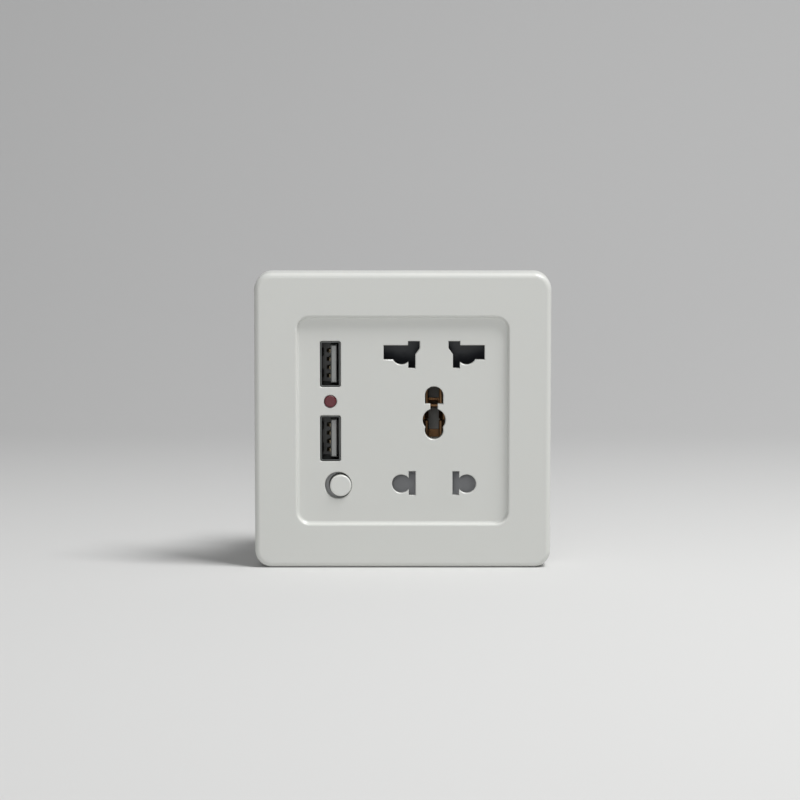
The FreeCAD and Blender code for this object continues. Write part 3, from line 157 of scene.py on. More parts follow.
@dataclass(frozen=True)
class Finish:
    """One real material with the way its surface was made.

    Args:
        name: the material's plain name.
        slot: the record's material slot; not used.
        colour: sRGB hex colour.
        roughness: mean roughness.
        surface: how the surface was made.
        grain_mm: spacing of the surface's pattern.
        height_mm: how deep the pattern is.
        metallic: 1 for a bare metal.
        ior: index of refraction of a plastic.
        subsurface: share of light that enters a pale plastic.
        transmission: share of light that passes through.
        second: sRGB hex colour that the pattern drifts towards.
        drift: how much of the second colour shows at most.
        edge_mm: how far the light rounds off a crisp edge.
    """

    name: str
    slot: str
    colour: str
    roughness: float
    surface: Surface
    grain_mm: float = 0.3
    height_mm: float = 0.002
    metallic: float = 0.0
    ior: float = 1.5
    subsurface: float = 0.0
    transmission: float = 0.0
    second: str = ""
    drift: float = 0.0
    edge_mm: float = 0.12

    def material(self) -> Material:
        """Builds the material at its first use and finds it afterwards.

        Returns:
            The material.
        """
        known = bpy.data.materials.get(self.name)
        if known is not None:
            return known
        made = bpy.data.materials.new(self.name)
        made.use_nodes = True
        tree = made.node_tree
        shader = tree.nodes["Principled BSDF"]
        shader.inputs["Metallic"].default_value = self.metallic
        if self.metallic == 0:
            shader.inputs["IOR"].default_value = self.ior
        shader.inputs["Transmission Weight"].default_value = self.transmission
        if self.subsurface > 0:
            shader.inputs["Subsurface Weight"].default_value = self.subsurface
            shader.inputs["Subsurface Radius"].default_value = SKIN_DEPTHS
            shader.inputs["Subsurface Scale"].default_value = SKIN_MM * MM
        place = add_node(tree, "ShaderNodeTexCoord")
        spread = add_node(tree, "ShaderNodeMapping", {"vector_type": "POINT"}, {
            "Vector": place.outputs["Object"], "Scale": self.surface.value[1]})
        fine = add_node(tree, "ShaderNodeTexNoise", {"noise_dimensions": "3D"}, {
            "Vector": spread.outputs["Vector"], "Scale": 1 / (self.grain_mm * MM), "Detail": 3.0,
            "Roughness": 0.55})
        broad = add_node(tree, "ShaderNodeTexNoise", {"noise_dimensions": "3D"}, {
            "Vector": spread.outputs["Vector"], "Scale": 1 / (BROAD_GRAINS * self.grain_mm * MM),
            "Detail": 2.0, "Roughness": 0.5})
        rough = add_node(tree, "ShaderNodeMapRange", None, {
            "Value": broad.outputs["Fac"], "From Min": GLOSS_FROM, "From Max": PATTERN_TO,
            "To Min": self.roughness * (1 - GLOSS_SPREAD), "To Max": self.roughness * (1 + GLOSS_SPREAD)})
        tree.links.new(rough.outputs["Result"], shader.inputs["Roughness"])
        edge = add_node(tree, "ShaderNodeBevel", {"samples": EDGE_SAMPLES}, {"Radius": self.edge_mm * MM})
        bump = add_node(tree, "ShaderNodeBump", None, {
            "Strength": RELIEF, "Distance": self.height_mm * MM, "Height": fine.outputs["Fac"],
            "Normal": edge.outputs["Normal"]})
        tree.links.new(bump.outputs["Normal"], shader.inputs["Normal"])
        if self.second:
            share = add_node(tree, "ShaderNodeMapRange", None, {
                "Value": broad.outputs["Fac"], "From Min": TINT_FROM, "From Max": PATTERN_TO,
                "To Min": 0.0, "To Max": self.drift})
            mixed = add_node(tree, "ShaderNodeMix", {"data_type": "RGBA"}, {
                0: share.outputs["Result"], 6: linear(self.colour), 7: linear(self.second)})
            tree.links.new(mixed.outputs[2], shader.inputs["Base Color"])
        else:
            shader.inputs["Base Color"].default_value = linear(self.colour)
        return made


# Grains are real spacings. Mould grain, rolling lines and drawing lines finer than about 0.15 mm are drawn
# at 0.15 to 0.3 mm, as coarse as a close view needs to show them, and polish ripples are 0.4 to 0.9 mm wide.

# Satin white polycarbonate from a polished mould: soft wide highlights and a faint glow at the edges
COVER_WHITE = Finish("satin_white_polycarbonate", "cover_plastic", "#d3d4d0", 0.34, Surface.POLISHED,
                     0.9, 0.003, ior=1.585, subsurface=0.06)
# The same resin from a smaller polished insert: a touch paler, with a finer and flatter ripple
BUTTON_WHITE = Finish("gloss_white_polycarbonate", "button_plastic", "#d7d8d4", 0.34, Surface.POLISHED,
                      0.7, 0.002, ior=1.585, subsurface=0.06)
# The frame's mould is spark eroded, so it is dull and faintly pitted
FRAME_WHITE = Finish("eroded_white_polycarbonate", "frame_plastic", "#c9cac6", 0.55, Surface.MOULDED,
                     0.22, 0.008, ior=1.585)
# Glass filled polyamide: greyer, dull, with faint flow patches
HOUSING_GREY = Finish("pale_grey_polyamide", "housing_plastic", "#bcbdb9", 0.5, Surface.MOULDED,
                      0.25, 0.01, ior=1.53, second="#b4b5b1", drift=0.3)
# Acetal slides well and looks waxy: this shutter's near black is painted shade, standing in for the shadow
# that falls in the upper slots
SHUTTER_PAINTED_SHADE = Finish("acetal_painted_shade", "three_shutter_plastic", "#282a2e", 0.42, Surface.MOULDED,
                      0.3, 0.004, ior=1.48)
# The same waxy acetal in grey, which fills the lower slots with an even mid tone
SHUTTER_GREY = Finish("mid_grey_acetal", "two_shutter_plastic", "#9d9ea1", 0.42, Surface.MOULDED,
                      0.3, 0.004, ior=1.48)
# Hard drawn wire: bright, with long lines that break up the glint on each turn
SPRING_STEEL = Finish("drawn_spring_steel", "spring_steel", "#a9aaad", 0.28, Surface.DRAWN,
                      0.15, 0.002, metallic=1.0)
# Phosphor bronze strip, dulled by stamping oil; its darkened colour, brown in broad patches, is painted shade
# of the deep slots
BRONZE = Finish("rolled_phosphor_bronze", "contact_bronze", "#9a7552", 0.48, Surface.ROLLED,
                0.25, 0.004, metallic=1.0, second="#62503e", drift=0.8)
# Free cutting brass: yellow, crisp, bright
BRASS = Finish("machined_brass", "terminal_brass", "#cfb070", 0.28, Surface.ROLLED,
               0.2, 0.003, metallic=1.0, second="#b08f55", drift=0.6)
# Bright nickel over steel: warm grey, the shiniest metal of the part
NICKEL = Finish("nickel_plated_steel", "screw_steel", "#b9b7b1", 0.24, Surface.POLISHED,
                0.4, 0.002, metallic=1.0)
# Nickel plated drawn sheet with rolling streaks; its dark grey is painted shade, standing in for the shadow
# inside the ports
PORT_SHELL_PAINTED_SHADE = Finish("nickel_sheet_painted_shade", "shell_steel", "#5f6160", 0.38, Surface.ROLLED,
                     0.22, 0.003, metallic=1.0, second="#4e504f", drift=0.6)
# Liquid crystal polymer: stiff and matt, a flat bar between darker walls; the plastic is white, and its grey
# is painted shade from deep in the port
TONGUE_PAINTED_SHADE = Finish("white_polymer_painted_shade", "tongue_plastic", "#8d8f8d", 0.45, Surface.MOULDED,
                     0.3, 0.004, ior=1.6)
# A gold flash on bronze is thin, so it looks pale and a little brown
GOLD = Finish("gold_flashed_bronze", "contact_gold", "#a3967a", 0.34, Surface.ROLLED,
              0.2, 0.001, metallic=1.0, second="#8b8069", drift=0.5)
# Dyed epoxy: light enters a little, so the red stays deep
LENS_RED = Finish("dark_red_epoxy", "lens_red", "#74252f", 0.24, Surface.POLISHED,
                  0.8, 0.001, ior=1.54, transmission=0.35)
# Dipped tin: silvery and soft, as solder ends and legs look
TINNED = Finish("tinned_copper_wire", "lead_tin", "#b4b6b8", 0.3, Surface.DRAWN, 0.2, 0.002, metallic=1.0)
# Black thermoplastic with a fine mould grain that turns its highlights grey
SWITCH_BLACK = Finish("black_thermoplastic", "switch_plastic", "#1b1c1e", 0.45, Surface.MOULDED, 0.25, 0.006)
# Mid grey thermoplastic: the crescent beside the button is its colour in the shade
LID_GREY = Finish("mid_grey_thermoplastic", "lid_plastic", "#a2a3a4", 0.5, Surface.MOULDED, 0.25, 0.006)
# Solder mask: a glossy green skin whose depth of colour drifts with its thickness
MASK_GREEN = Finish("green_solder_mask", "board_laminate", "#1c5a35", 0.3, Surface.POLISHED,
                    0.8, 0.004, second="#174a2c", drift=0.7)
# Mask over copper tracks: the same green, lighter for the copper under it
TRACK_GREEN = Finish("mask_over_copper", "board_laminate", "#2f7d4a", 0.28, Surface.POLISHED, 0.6, 0.002)
# Pressed and fired ferrite: charcoal, chalky, with a powder's grain
FERRITE = Finish("pressed_ferrite", "ferrite", "#3a3b3d", 0.6, Surface.MOULDED, 0.2, 0.01)
# Polyester tape wound tight: yellow film with soft waves over the wire under it
TAPE = Finish("yellow_polyester_tape", "coil_tape", "#c9a227", 0.32, Surface.POLISHED, 0.6, 0.006)
# Shrunk film: blue black and glossy, slightly wavy where it pulled tight
SLEEVE = Finish("shrink_sleeve", "capacitor_sleeve", "#20242e", 0.28, Surface.POLISHED, 0.7, 0.004)
# The bare end of the can shows drawn aluminium: pale, with a soft sheen
CAN_ALUMINIUM = Finish("drawn_aluminium", "lead_tin", "#c3c4c6", 0.33, Surface.MOULDED,
                       0.3, 0.002, metallic=1.0)
# Ink on the sleeve: a flat light grey that marks the can's negative side
STRIPE_GREY = Finish("printed_grey_band", "tongue_plastic", "#9ea1a6", 0.4, Surface.POLISHED, 0.5, 0.001)
# Filled epoxy from a matt mould: the usual dull charcoal of a chip
CHIP_BLACK = Finish("moulded_black_epoxy", "switch_plastic", "#242527", 0.5, Surface.MOULDED, 0.15, 0.006)
# Fired ceramic: an eggshell sheen in tan
CERAMIC_TAN = Finish("fired_tan_ceramic", "coil_tape", "#a98a63", 0.4, Surface.MOULDED, 0.2, 0.003)
# Epoxy that was dipped and ran before it set: glossy blue with an uneven skin
VARISTOR_BLUE = Finish("dipped_blue_epoxy", "lead_blue", "#2b5a9c", 0.3, Surface.POLISHED, 0.9, 0.02)
# Extruded PVC: even and rubbery, red for the live lead
RED_PVC = Finish("red_insulation", "lead_red", "#9c1f22", 0.42, Surface.POLISHED, 0.5, 0.003)
# The same PVC in blue, which tells the neutral lead apart
BLUE_PVC = Finish("blue_insulation", "lead_blue", "#24447e", 0.42, Surface.POLISHED, 0.5, 0.003)


class Axis(Enum):
    """The direction that a form is drawn out or turned about."""

    X = 0
    Y = 1
    Z = 2

    def point(self, first_mm: float, second_mm: float, along_mm: float) -> Vector:
        """A point in metres from its two places across this axis and the one along it.

        Args:
            first_mm: place along the first of the other two axes.
            second_mm: place along the second of them.
            along_mm: place along this axis.

        Returns:
            The point.
        """
        places = [first_mm, second_mm]
        places.insert(self.value, along_mm)
        return Vector(places) * MM


def settled(work: BMesh, mesh: Mesh) -> Mesh:
    """Writes finished work into a mesh and frees the work.

    Args:
        work: the mesh being worked on.
        mesh: where it goes.

    Returns:
        The mesh.
    """
    work.to_mesh(mesh)
    work.free()
    return mesh


def placed(name: str, data: Any) -> Object:
    """Puts a new object in the scene.

    Args:
        name: its name.
        data: its mesh, curve, lamp or camera.

    Returns:
        The object.
    """
    made = bpy.data.objects.new(name, data)
    bpy.context.scene.collection.objects.link(made)
    return made


def finish_piece(name: str, mesh: Mesh, finish: Finish, body: str = "base", nodes: tuple[str, ...] = (),
                 crisp_deg: float = CRISP_DEG) -> Object:
    """Turns a mesh into a shaded piece that rides on a body.

    Args:
        name: the piece's name.
        mesh: its mesh, already in place.
        finish: what it is made of.
        body: the moving body that carries it.
        nodes: the plain solids that it stands for.
        crisp_deg: edges that turn by more than this stay crisp.

    Returns:
        The finished object.
    """
    mesh.materials.clear()
    mesh.materials.append(finish.material())
    for polygon in mesh.polygons:
        polygon.use_smooth = True
        polygon.material_index = 0
    mesh.set_sharp_from_angle(angle=math.radians(crisp_deg))
    piece = placed(name, mesh)
    weigh = piece.modifiers.new("even_normals", "WEIGHTED_NORMAL")
    weigh.keep_sharp = True
    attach(piece, body)
    if nodes:
        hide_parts(*nodes)
    LOG.info("%s on %s, %d faces", name, body, len(mesh.polygons))
    return piece


def welded(node: str) -> Mesh:
    """A copy of a solid's mesh with its loose triangles joined into whole flat faces.

    Args:
        node: the solid's name.

    Returns:
        The new mesh.
    """
    work = bmesh.new()
    work.from_mesh(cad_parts[node].data)
    bmesh.ops.remove_doubles(work, verts=work.verts, dist=WELD_MM * MM)
    bmesh.ops.dissolve_limit(work, angle_limit=math.radians(FLAT_DEG), verts=work.verts, edges=work.edges)
    return settled(work, bpy.data.meshes.new(node + "_skin"))


def dress(node: str, finish: Finish, body: str = "base", crisp_deg: float = CRISP_DEG) -> Object:
    """Stands a smoothly shaded copy in for a solid whose shape is right.

    Args:
        node: the solid's name.
        finish: what it is made of.
        body: the body that carries it.
        crisp_deg: edges that turn by more than this stay crisp.

    Returns:
        The finished piece.
    """
    return finish_piece(node + "_skin", welded(node), finish, body, (node,), crisp_deg)


def box_mm(node: str) -> tuple[Vector, Vector]:
    """A solid's low and high corners in millimetres.

    Args:
        node: the solid's name.

    Returns:
        The two corners.
    """
    low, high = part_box(node)
    return Vector(low) / MM, Vector(high) / MM


def joined(meshes: list[Mesh], name: str) -> Mesh:
    """Puts several meshes into one.

    Args:
        meshes: the meshes, already in place.
        name: the new mesh's name.

    Returns:
        The new mesh.
    """
    work = bmesh.new()
    for mesh in meshes:
        work.from_mesh(mesh)
    return settled(work, bpy.data.meshes.new(name))


def drawn_out(outline: Outline, low_mm: float, high_mm: float, axis: Axis) -> Mesh:
    """A closed outline drawn out along an axis.

    Args:
        outline: corners in millimetres, across the axis.
        low_mm: where the form starts along the axis.
        high_mm: where it ends.
        axis: the direction it is drawn out.

    Returns:
        The mesh.
    """
    work = bmesh.new()
    rings = [[work.verts.new(axis.point(a, b, along)) for a, b in outline] for along in (low_mm, high_mm)]
    count = len(outline)
    work.faces.new(rings[0])
    work.faces.new(list(reversed(rings[1])))
    for index in range(count):
        after = (index + 1) % count
        work.faces.new((rings[0][index], rings[1][index], rings[1][after], rings[0][after]))
    bmesh.ops.recalc_face_normals(work, faces=work.faces)
    return settled(work, bpy.data.meshes.new("drawn_out"))


def bar(low_mm: Triple, high_mm: Triple, edge_mm: float = 0.0) -> Mesh:
    """A straight block with small bevels on its edges.

    Args:
        low_mm: its low corner.
        high_mm: its high corner.
        edge_mm: width of the bevels.

    Returns:
        The mesh.
    """
    (left, near, low), (right, far, high) = low_mm, high_mm
    mesh = drawn_out([(left, near), (right, near), (right, far), (left, far)], low, high, Axis.Z)
    if edge_mm > 0:
        work = bmesh.new()
        work.from_mesh(mesh)
        bmesh.ops.bevel(work, geom=work.edges[:], offset=edge_mm * MM, segments=2, profile=0.5,
                        affect="EDGES")
        settled(work, mesh)
    return mesh


def turned(profile: Outline, centre_mm: Pair, axis: Axis, steps: int = 36) -> Mesh:
    """A profile turned about an axis, as on a lathe.

    Args:
        profile: radius and place along the axis of each corner, in millimetres, from end to end.
        centre_mm: where the axis stands, across it.
        axis: its direction.
        steps: facets round the form.

    Returns:
        The mesh, closed where the profile starts and ends on the axis.
    """
    work = bmesh.new()
    rings = []
    for radius, along in profile:
        ring = []
        for step in range(steps):
            turn = 2 * math.pi * step / steps
            ring.append(work.verts.new(axis.point(centre_mm[0] + radius * math.cos(turn),
                                                  centre_mm[1] + radius * math.sin(turn), along)))
        rings.append(ring)
    for near, far in zip(rings, rings[1:]):
        for step in range(steps):
            after = (step + 1) % steps
            work.faces.new((near[step], near[after], far[after], far[step]))
    bmesh.ops.remove_doubles(work, verts=work.verts, dist=WELD_MM * MM)
    bmesh.ops.recalc_face_normals(work, faces=work.faces)
    return settled(work, bpy.data.meshes.new("turned"))


def stood(mesh: Mesh, foot_mm: Triple) -> None:
    """Turns a form that runs up from the origin so that it runs along +Y from its foot.

    Args:
        mesh: the form's mesh.
        foot_mm: where its foot goes.
    """
    lying = Matrix.Rotation(math.radians(-90), 4, "X")
    mesh.transform(Matrix.Translation(Vector(foot_mm) * MM) @ lying)


def new_tree(name: str, inputs: dict[str, str]) -> NodeTree:
    """Starts a geometry tree with one geometry output.

    Args:
        name: the tree's name.
        inputs: the kind of socket of each named input.

    Returns:
        The tree.
    """
    tree = bpy.data.node_groups.new(name, "GeometryNodeTree")
    tree.interface.new_socket("Geometry", in_out="OUTPUT", socket_type="NodeSocketGeometry")
    for label, kind in inputs.items():
        tree.interface.new_socket(label, in_out="INPUT", socket_type="NodeSocket" + kind)
    return tree


def ended(tree: NodeTree, geometry: NodeSocket, material: NodeSocket) -> NodeTree:
    """Ends a geometry tree with real geometry in one material.

    Args:
        tree: the tree.
        geometry: what it has made.
        material: what that is made of.

    Returns:
        The tree.
    """
    real = add_node(tree, "GeometryNodeRealizeInstances", None, {"Geometry": geometry})
    painted = add_node(tree, "GeometryNodeSetMaterial", None, {
        "Geometry": real.outputs["Geometry"], "Material": material})
    add_node(tree, "NodeGroupOutput", None, {"Geometry": painted.outputs["Geometry"]})
    return tree


def coil_tree() -> NodeTree:
    """A wire wound about Z from 0 to Length, its end turns lying flat.

    Returns:
        The tree.
    """
    tree = new_tree("wound_wire", {
        "Radius": "Float", "Wire Radius": "Float", "Length": "Float", "Turns": "Float",
        "Flat Turns": "Float", "Points": "Int", "Sides": "Int", "Material": "Material"})
    given = add_node(tree, "NodeGroupInput").outputs

    def worked(operation: str, first: Any, second: Any = 0.0) -> NodeSocket:
        """One step of arithmetic in the tree."""
        return add_node(tree, "ShaderNodeMath", {"operation": operation}, {0: first, 1: second}).outputs[0]

    line = add_node(tree, "GeometryNodeMeshLine", {"mode": "OFFSET"}, {"Count": given["Points"]})
    curve = add_node(tree, "GeometryNodeMeshToCurve", None, {"Mesh": line.outputs["Mesh"]})
    index = add_node(tree, "GeometryNodeInputIndex").outputs["Index"]
    share = worked("DIVIDE", index, worked("SUBTRACT", given["Points"], 1.0))
    angle = worked("MULTIPLY", share, worked("MULTIPLY", given["Turns"], 2 * math.pi))
    across = worked("MULTIPLY", worked("COSINE", angle), given["Radius"])
    along = worked("MULTIPLY", worked("SINE", angle), given["Radius"])
    flat = worked("DIVIDE", given["Flat Turns"], given["Turns"])
    climb = add_node(tree, "ShaderNodeMapRange", {"interpolation_type": "LINEAR"}, {
        "Value": share, "From Min": flat, "From Max": worked("SUBTRACT", 1.0, flat),
        "To Min": given["Wire Radius"],
        "To Max": worked("SUBTRACT", given["Length"], given["Wire Radius"])})
    place = add_node(tree, "ShaderNodeCombineXYZ", None, {
        "X": across, "Y": along, "Z": climb.outputs["Result"]})
    wound = add_node(tree, "GeometryNodeSetPosition", None, {
        "Geometry": curve.outputs["Curve"], "Position": place.outputs["Vector"]})
    ring = add_node(tree, "GeometryNodeCurvePrimitiveCircle", {"mode": "RADIUS"}, {
        "Resolution": given["Sides"], "Radius": given["Wire Radius"]})
    tube = add_node(tree, "GeometryNodeCurveToMesh", None, {
        "Curve": wound.outputs["Geometry"], "Profile Curve": ring.outputs["Curve"], "Fill Caps": True})
    return ended(tree, tube.outputs["Mesh"], given["Material"])


def step_tree() -> NodeTree:
    """Copies of one piece at equal steps, such as contacts, chips or pins.

    Returns:
        The tree.
    """
    tree = new_tree("equal_steps", {
        "Piece": "Object", "Count": "Int", "Step": "Vector", "Material": "Material"})
    given = add_node(tree, "NodeGroupInput").outputs
    line = add_node(tree, "GeometryNodeMeshLine", {"mode": "OFFSET"}, {
        "Count": given["Count"], "Offset": given["Step"]})
    piece = add_node(tree, "GeometryNodeObjectInfo", {"transform_space": "ORIGINAL"}, {
        "Object": given["Piece"]})
    copies = add_node(tree, "GeometryNodeInstanceOnPoints", None, {
        "Points": line.outputs["Mesh"], "Instance": piece.outputs["Geometry"]})
    return ended(tree, copies.outputs["Instances"], given["Material"])


def grown(tree: NodeTree, sizes: dict[str, Any]) -> Mesh:
    """Runs a geometry tree and keeps its result as a plain mesh.

    Args:
        tree: the geometry tree.
        sizes: a value for each of its named inputs.

    Returns:
        The evaluated mesh.
    """
    seed = placed("seed", bpy.data.meshes.new("seed"))
    modifier = seed.modifiers.new("grow", "NODES")
    modifier.node_group = tree
    for item in tree.interface.items_tree:
        if item.item_type == "SOCKET" and item.in_out == "INPUT" and item.name in sizes:
            modifier[item.identifier] = sizes[item.name]
    seen = seed.evaluated_get(bpy.context.evaluated_depsgraph_get())
    mesh = bpy.data.meshes.new_from_object(seen)
    bpy.data.objects.remove(seed)
    return mesh


@dataclass
class Workshop:
    """The geometry trees that several sub-assemblies share."""

    coil: NodeTree = field(default_factory=coil_tree)
    steps: NodeTree = field(default_factory=step_tree)

    def wound(self, finish: Finish, radius_mm: float, wire_mm: float, length_mm: float, turns: float,
              flat_turns: float = 0.0, sides: int = 10) -> Mesh:
        """A wound wire about Z, starting at the origin.

        Args:
            finish: what the wire is made of.
            radius_mm: radius of the winding's middle line.
            wire_mm: radius of the wire.
            length_mm: overall length.
            turns: number of turns.
            flat_turns: turns that lie flat at each end.
            sides: facets round the wire.

        Returns:
            The mesh.
        """
        return grown(self.coil, {
            "Radius": radius_mm * MM, "Wire Radius": wire_mm * MM, "Length": length_mm * MM, "Turns": turns,
            "Flat Turns": flat_turns, "Points": int(turns * POINTS_PER_TURN) + 1, "Sides": sides,
            "Material": finish.material()})

    def repeated(self, mesh: Mesh, finish: Finish, count: int, step_mm: Triple) -> Mesh:
        """Copies of a mesh at equal steps.

        Args:
            mesh: the first copy, already in place.
            finish: what the copies are made of.
            count: how many.
            step_mm: from one to the next.

        Returns:
            One mesh with all the copies.
        """
        pattern = placed("pattern", mesh)
        made = grown(self.steps, {
            "Piece": pattern, "Count": count, "Step": Vector(step_mm) * MM, "Material": finish.material()})
        bpy.data.objects.remove(pattern)
        return made


@dataclass
class CoverPlate:
    """The white moulding that shows."""

    crisp_deg: float = 28.0

    def build(self) -> None:
        """Dresses the cover."""
        dress("front_cover", COVER_WHITE, "cover", self.crisp_deg)


@dataclass
class Ports:
    """Two type A ports: sheet shells with sprung tabs, tongues and four bent contacts each."""

    workshop: Workshop
    names: tuple[str, ...] = ("upper", "lower")
    sheet_mm: float = 0.2
    crisp_deg: float = 40.0
    contacts: int = 4
    contact_mm: float = 1.0
    crest_mm: float = 1.0
    crest_at_mm: float = 1.6
    rise_mm: float = 5.0
    tip_mm: float = 0.1
    # Along a contact's bend: share of the crest's height, and millimetres behind the crest
    contact_bend: tuple[Pair, ...] = ((0.7, 0.9), (1.0, 0.3), (1.0, -0.2), (0.6, -0.8))
    shell_wall_mm: float = 0.35
    tabs: int = 2
    tab_mm: float = 2.2
    tab_length_mm: float = 5.0
    tab_bow_mm: float = 0.5
    tab_front_mm: float = 2.4
    tab_step_mm: float = 6.2
    # Along a tab's bow: share of its height, and share of the tab's length
    tab_bend: tuple[Pair, ...] = ((0.3, 0.2), (1.0, 0.6), (0.8, 1.0))

    def build(self) -> None:
        """Dresses both ports and adds what springs in them."""
        for name in self.names:
            # The shells' dark grey and the tongues' grey are painted shade from inside the ports
            dress("usb_shell_" + name, PORT_SHELL_PAINTED_SHADE)
            dress("usb_tongue_" + name, TONGUE_PAINTED_SHADE)
            self.bent_contacts(name)
            self.sprung_tabs(name)

    def strips(self, line: Outline, finish: Finish, width_mm: float, start_mm: float, count: int,
               step_mm: float) -> Mesh:
        """Bent strips of sheet, one above the other.

        Args:
            line: the bent line of a strip's inner face, by x and y.
            finish: what the strips are made of.
            width_mm: a strip's width.
            start_mm: where the lowest one starts.
            count: how many.
            step_mm: from one to the next.

        Returns:
            One mesh with all the strips.
        """
        back = [(x - self.sheet_mm, y) for x, y in reversed(line)]
        first = drawn_out(line + back, start_mm, start_mm + width_mm, Axis.Z)
        return self.workshop.repeated(first, finish, count, (0.0, 0.0, step_mm))

    def bent_contacts(self, name: str) -> None:
        """Contacts that rise from the tongue to a rounded crest near its tip.

        Args:
            name: which port.
        """
        low, high = box_mm("usb_contacts_" + name)
        face, crest = high.x, low.y + self.crest_at_mm
        bend = [(face - share * self.crest_mm, crest + behind) for share, behind in self.contact_bend]
        line = [(face, high.y), (face, low.y + self.rise_mm), *bend, (face - self.tip_mm, low.y)]
        step = (high.z - low.z - self.contact_mm) / (self.contacts - 1)
        mesh = self.strips(line, GOLD, self.contact_mm, low.z, self.contacts, step)
        finish_piece("usb_contacts_" + name + "_bent", mesh, GOLD, "base", ("usb_contacts_" + name,),
                     self.crisp_deg)

    def sprung_tabs(self, name: str) -> None:
        """Two tabs of the shell that bow inwards and grip a plug.

        Args:
            name: which port.
        """
        low, high = box_mm("usb_shell_" + name)
        wall, front = low.x + self.shell_wall_mm, low.y + self.tab_front_mm
        line = [(wall, front)] + [(wall + rise * self.tab_bow_mm, front + along * self.tab_length_mm)
                                  for rise, along in self.tab_bend]
        start = (low.z + high.z - self.tab_step_mm - self.tab_mm) / 2
        mesh = self.strips(line, PORT_SHELL_PAINTED_SHADE, self.tab_mm, start, self.tabs, self.tab_step_mm)
        finish_piece("usb_shell_" + name + "_tabs", mesh, PORT_SHELL_PAINTED_SHADE, crisp_deg=self.crisp_deg)


@dataclass
class LampAndButton:
    """The indicator and the round power button with its switch."""

    workshop: Workshop
    # The reflector cup: radius, and depth behind the front of the lens
    cup_profile: tuple[Pair, ...] = ((0.0, 2.2), (0.35, 2.2), (0.95, 1.5), (1.1, 1.5), (1.1, 2.4),
                                     (0.0, 2.4))
    # The collar's rim from bore to tube: radius, and depth behind the cover's inner face
    rim_profile: tuple[Pair, ...] = ((3.35, 0.15), (3.5, 0.0), (4.65, 0.0), (4.75, 0.1), (4.75, 0.8),
                                     (3.7, 0.8))
    cover_inner_mm: float = -6.7
    collar_steps: int = 64
    spring_radius_mm: float = 2.2
    spring_wire_mm: float = 0.2
    spring_turns: float = 6.0
    spring_flat_turns: float = 0.9
    travel_mm: float = 1.5

    def build(self) -> None:
        """Dresses the lamp, the button and the switch."""
        dress("indicator_lens", LENS_RED)
        dress("indicator_leads", TINNED)
        dress("power_button", BUTTON_WHITE, "button")
        dress("switch_body", SWITCH_BLACK)
        dress("switch_lid", LID_GREY)
        self.cup()
        self.collar()
        self.spring()

    def cup(self) -> None:
        """The reflector cup that shows faintly through the lens."""
        low, high = box_mm("indicator_lens")
        profile = [(radius, low.y + depth) for radius, depth in self.cup_profile]
        mesh = turned(profile, ((low.x + high.x) / 2, (low.z + high.z) / 2), Axis.Y)
        finish_piece("indicator_cup", mesh, TINNED)

    def collar(self) -> None:
        """The grey guide on the switch, whose rim shows as a crescent beside the button."""
        low, high = box_mm("power_button")
        rear = box_mm("switch_lid")[0].y
        rim = [(radius, self.cover_inner_mm + depth) for radius, depth in self.rim_profile]
        bore, tube = rim[0][0], rim[-1][0]
        profile = [(bore, rear), *rim, (tube, rear), (bore, rear)]
        mesh = turned(profile, ((low.x + high.x) / 2, (low.z + high.z) / 2), Axis.Y, self.collar_steps)
        finish_piece("button_collar", mesh, LID_GREY)

    def spring(self) -> None:
        """The button's spring, wound over its solid's length."""
        low, high = box_mm("button_spring")
        length = high.y - low.y
        mesh = self.workshop.wound(SPRING_STEEL, self.spring_radius_mm, self.spring_wire_mm, length,
                                   self.spring_turns, self.spring_flat_turns)
        middle = (low + high) / 2
        stood(mesh, (middle.x, low.y, middle.z))
        piece = finish_piece("button_spring_wire", mesh, SPRING_STEEL, "base", ("button_spring",))
        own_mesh(piece)


@dataclass
class Shutters:
    """The two wedges behind the slots and their springs."""

    workshop: Workshop
    radius_mm: float = 1.6
    wire_mm: float = 0.25
    turns: float = 8.0
    flat_turns: float = 1.0
    three_pin_travel_mm: float = 8.4
    two_pin_travel_mm: float = 8.0

    def build(self) -> None:
        """Dresses both shutters and winds their springs."""
        # The three-pin shutter wears painted shade: its near black stands in for the shadow in the upper
        # slots
        dress("shutter_three_pin", SHUTTER_PAINTED_SHADE, "three_pin_shutter")
        dress("shutter_two_pin", SHUTTER_GREY, "two_pin_shutter")
        self.spring("three_pin", self.three_pin_travel_mm, True)
        self.spring("two_pin", self.two_pin_travel_mm, False)

    def spring(self, outlet: str, travel_mm: float, fixed_on_top: bool) -> None:
        """Winds one shutter's spring over its solid's length.

        Args:
            outlet: which outlet's shutter it presses.
            travel_mm: how far that shutter slides; not used.
            fixed_on_top: whether the upper end is the one that stays; not used.
        """
        node = "shutter_spring_" + outlet
        low, high = box_mm(node)
        length = high.z - low.z
        mesh = self.workshop.wound(SPRING_STEEL, self.radius_mm, self.wire_mm, length, self.turns,
                                   self.flat_turns)
        middle = (low + high) / 2 * MM
        mesh.transform(Matrix.Translation((middle.x, middle.y, low.z * MM)))
        piece = finish_piece(node + "_wire", mesh, SPRING_STEEL, "base", (node,))
        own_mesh(piece)


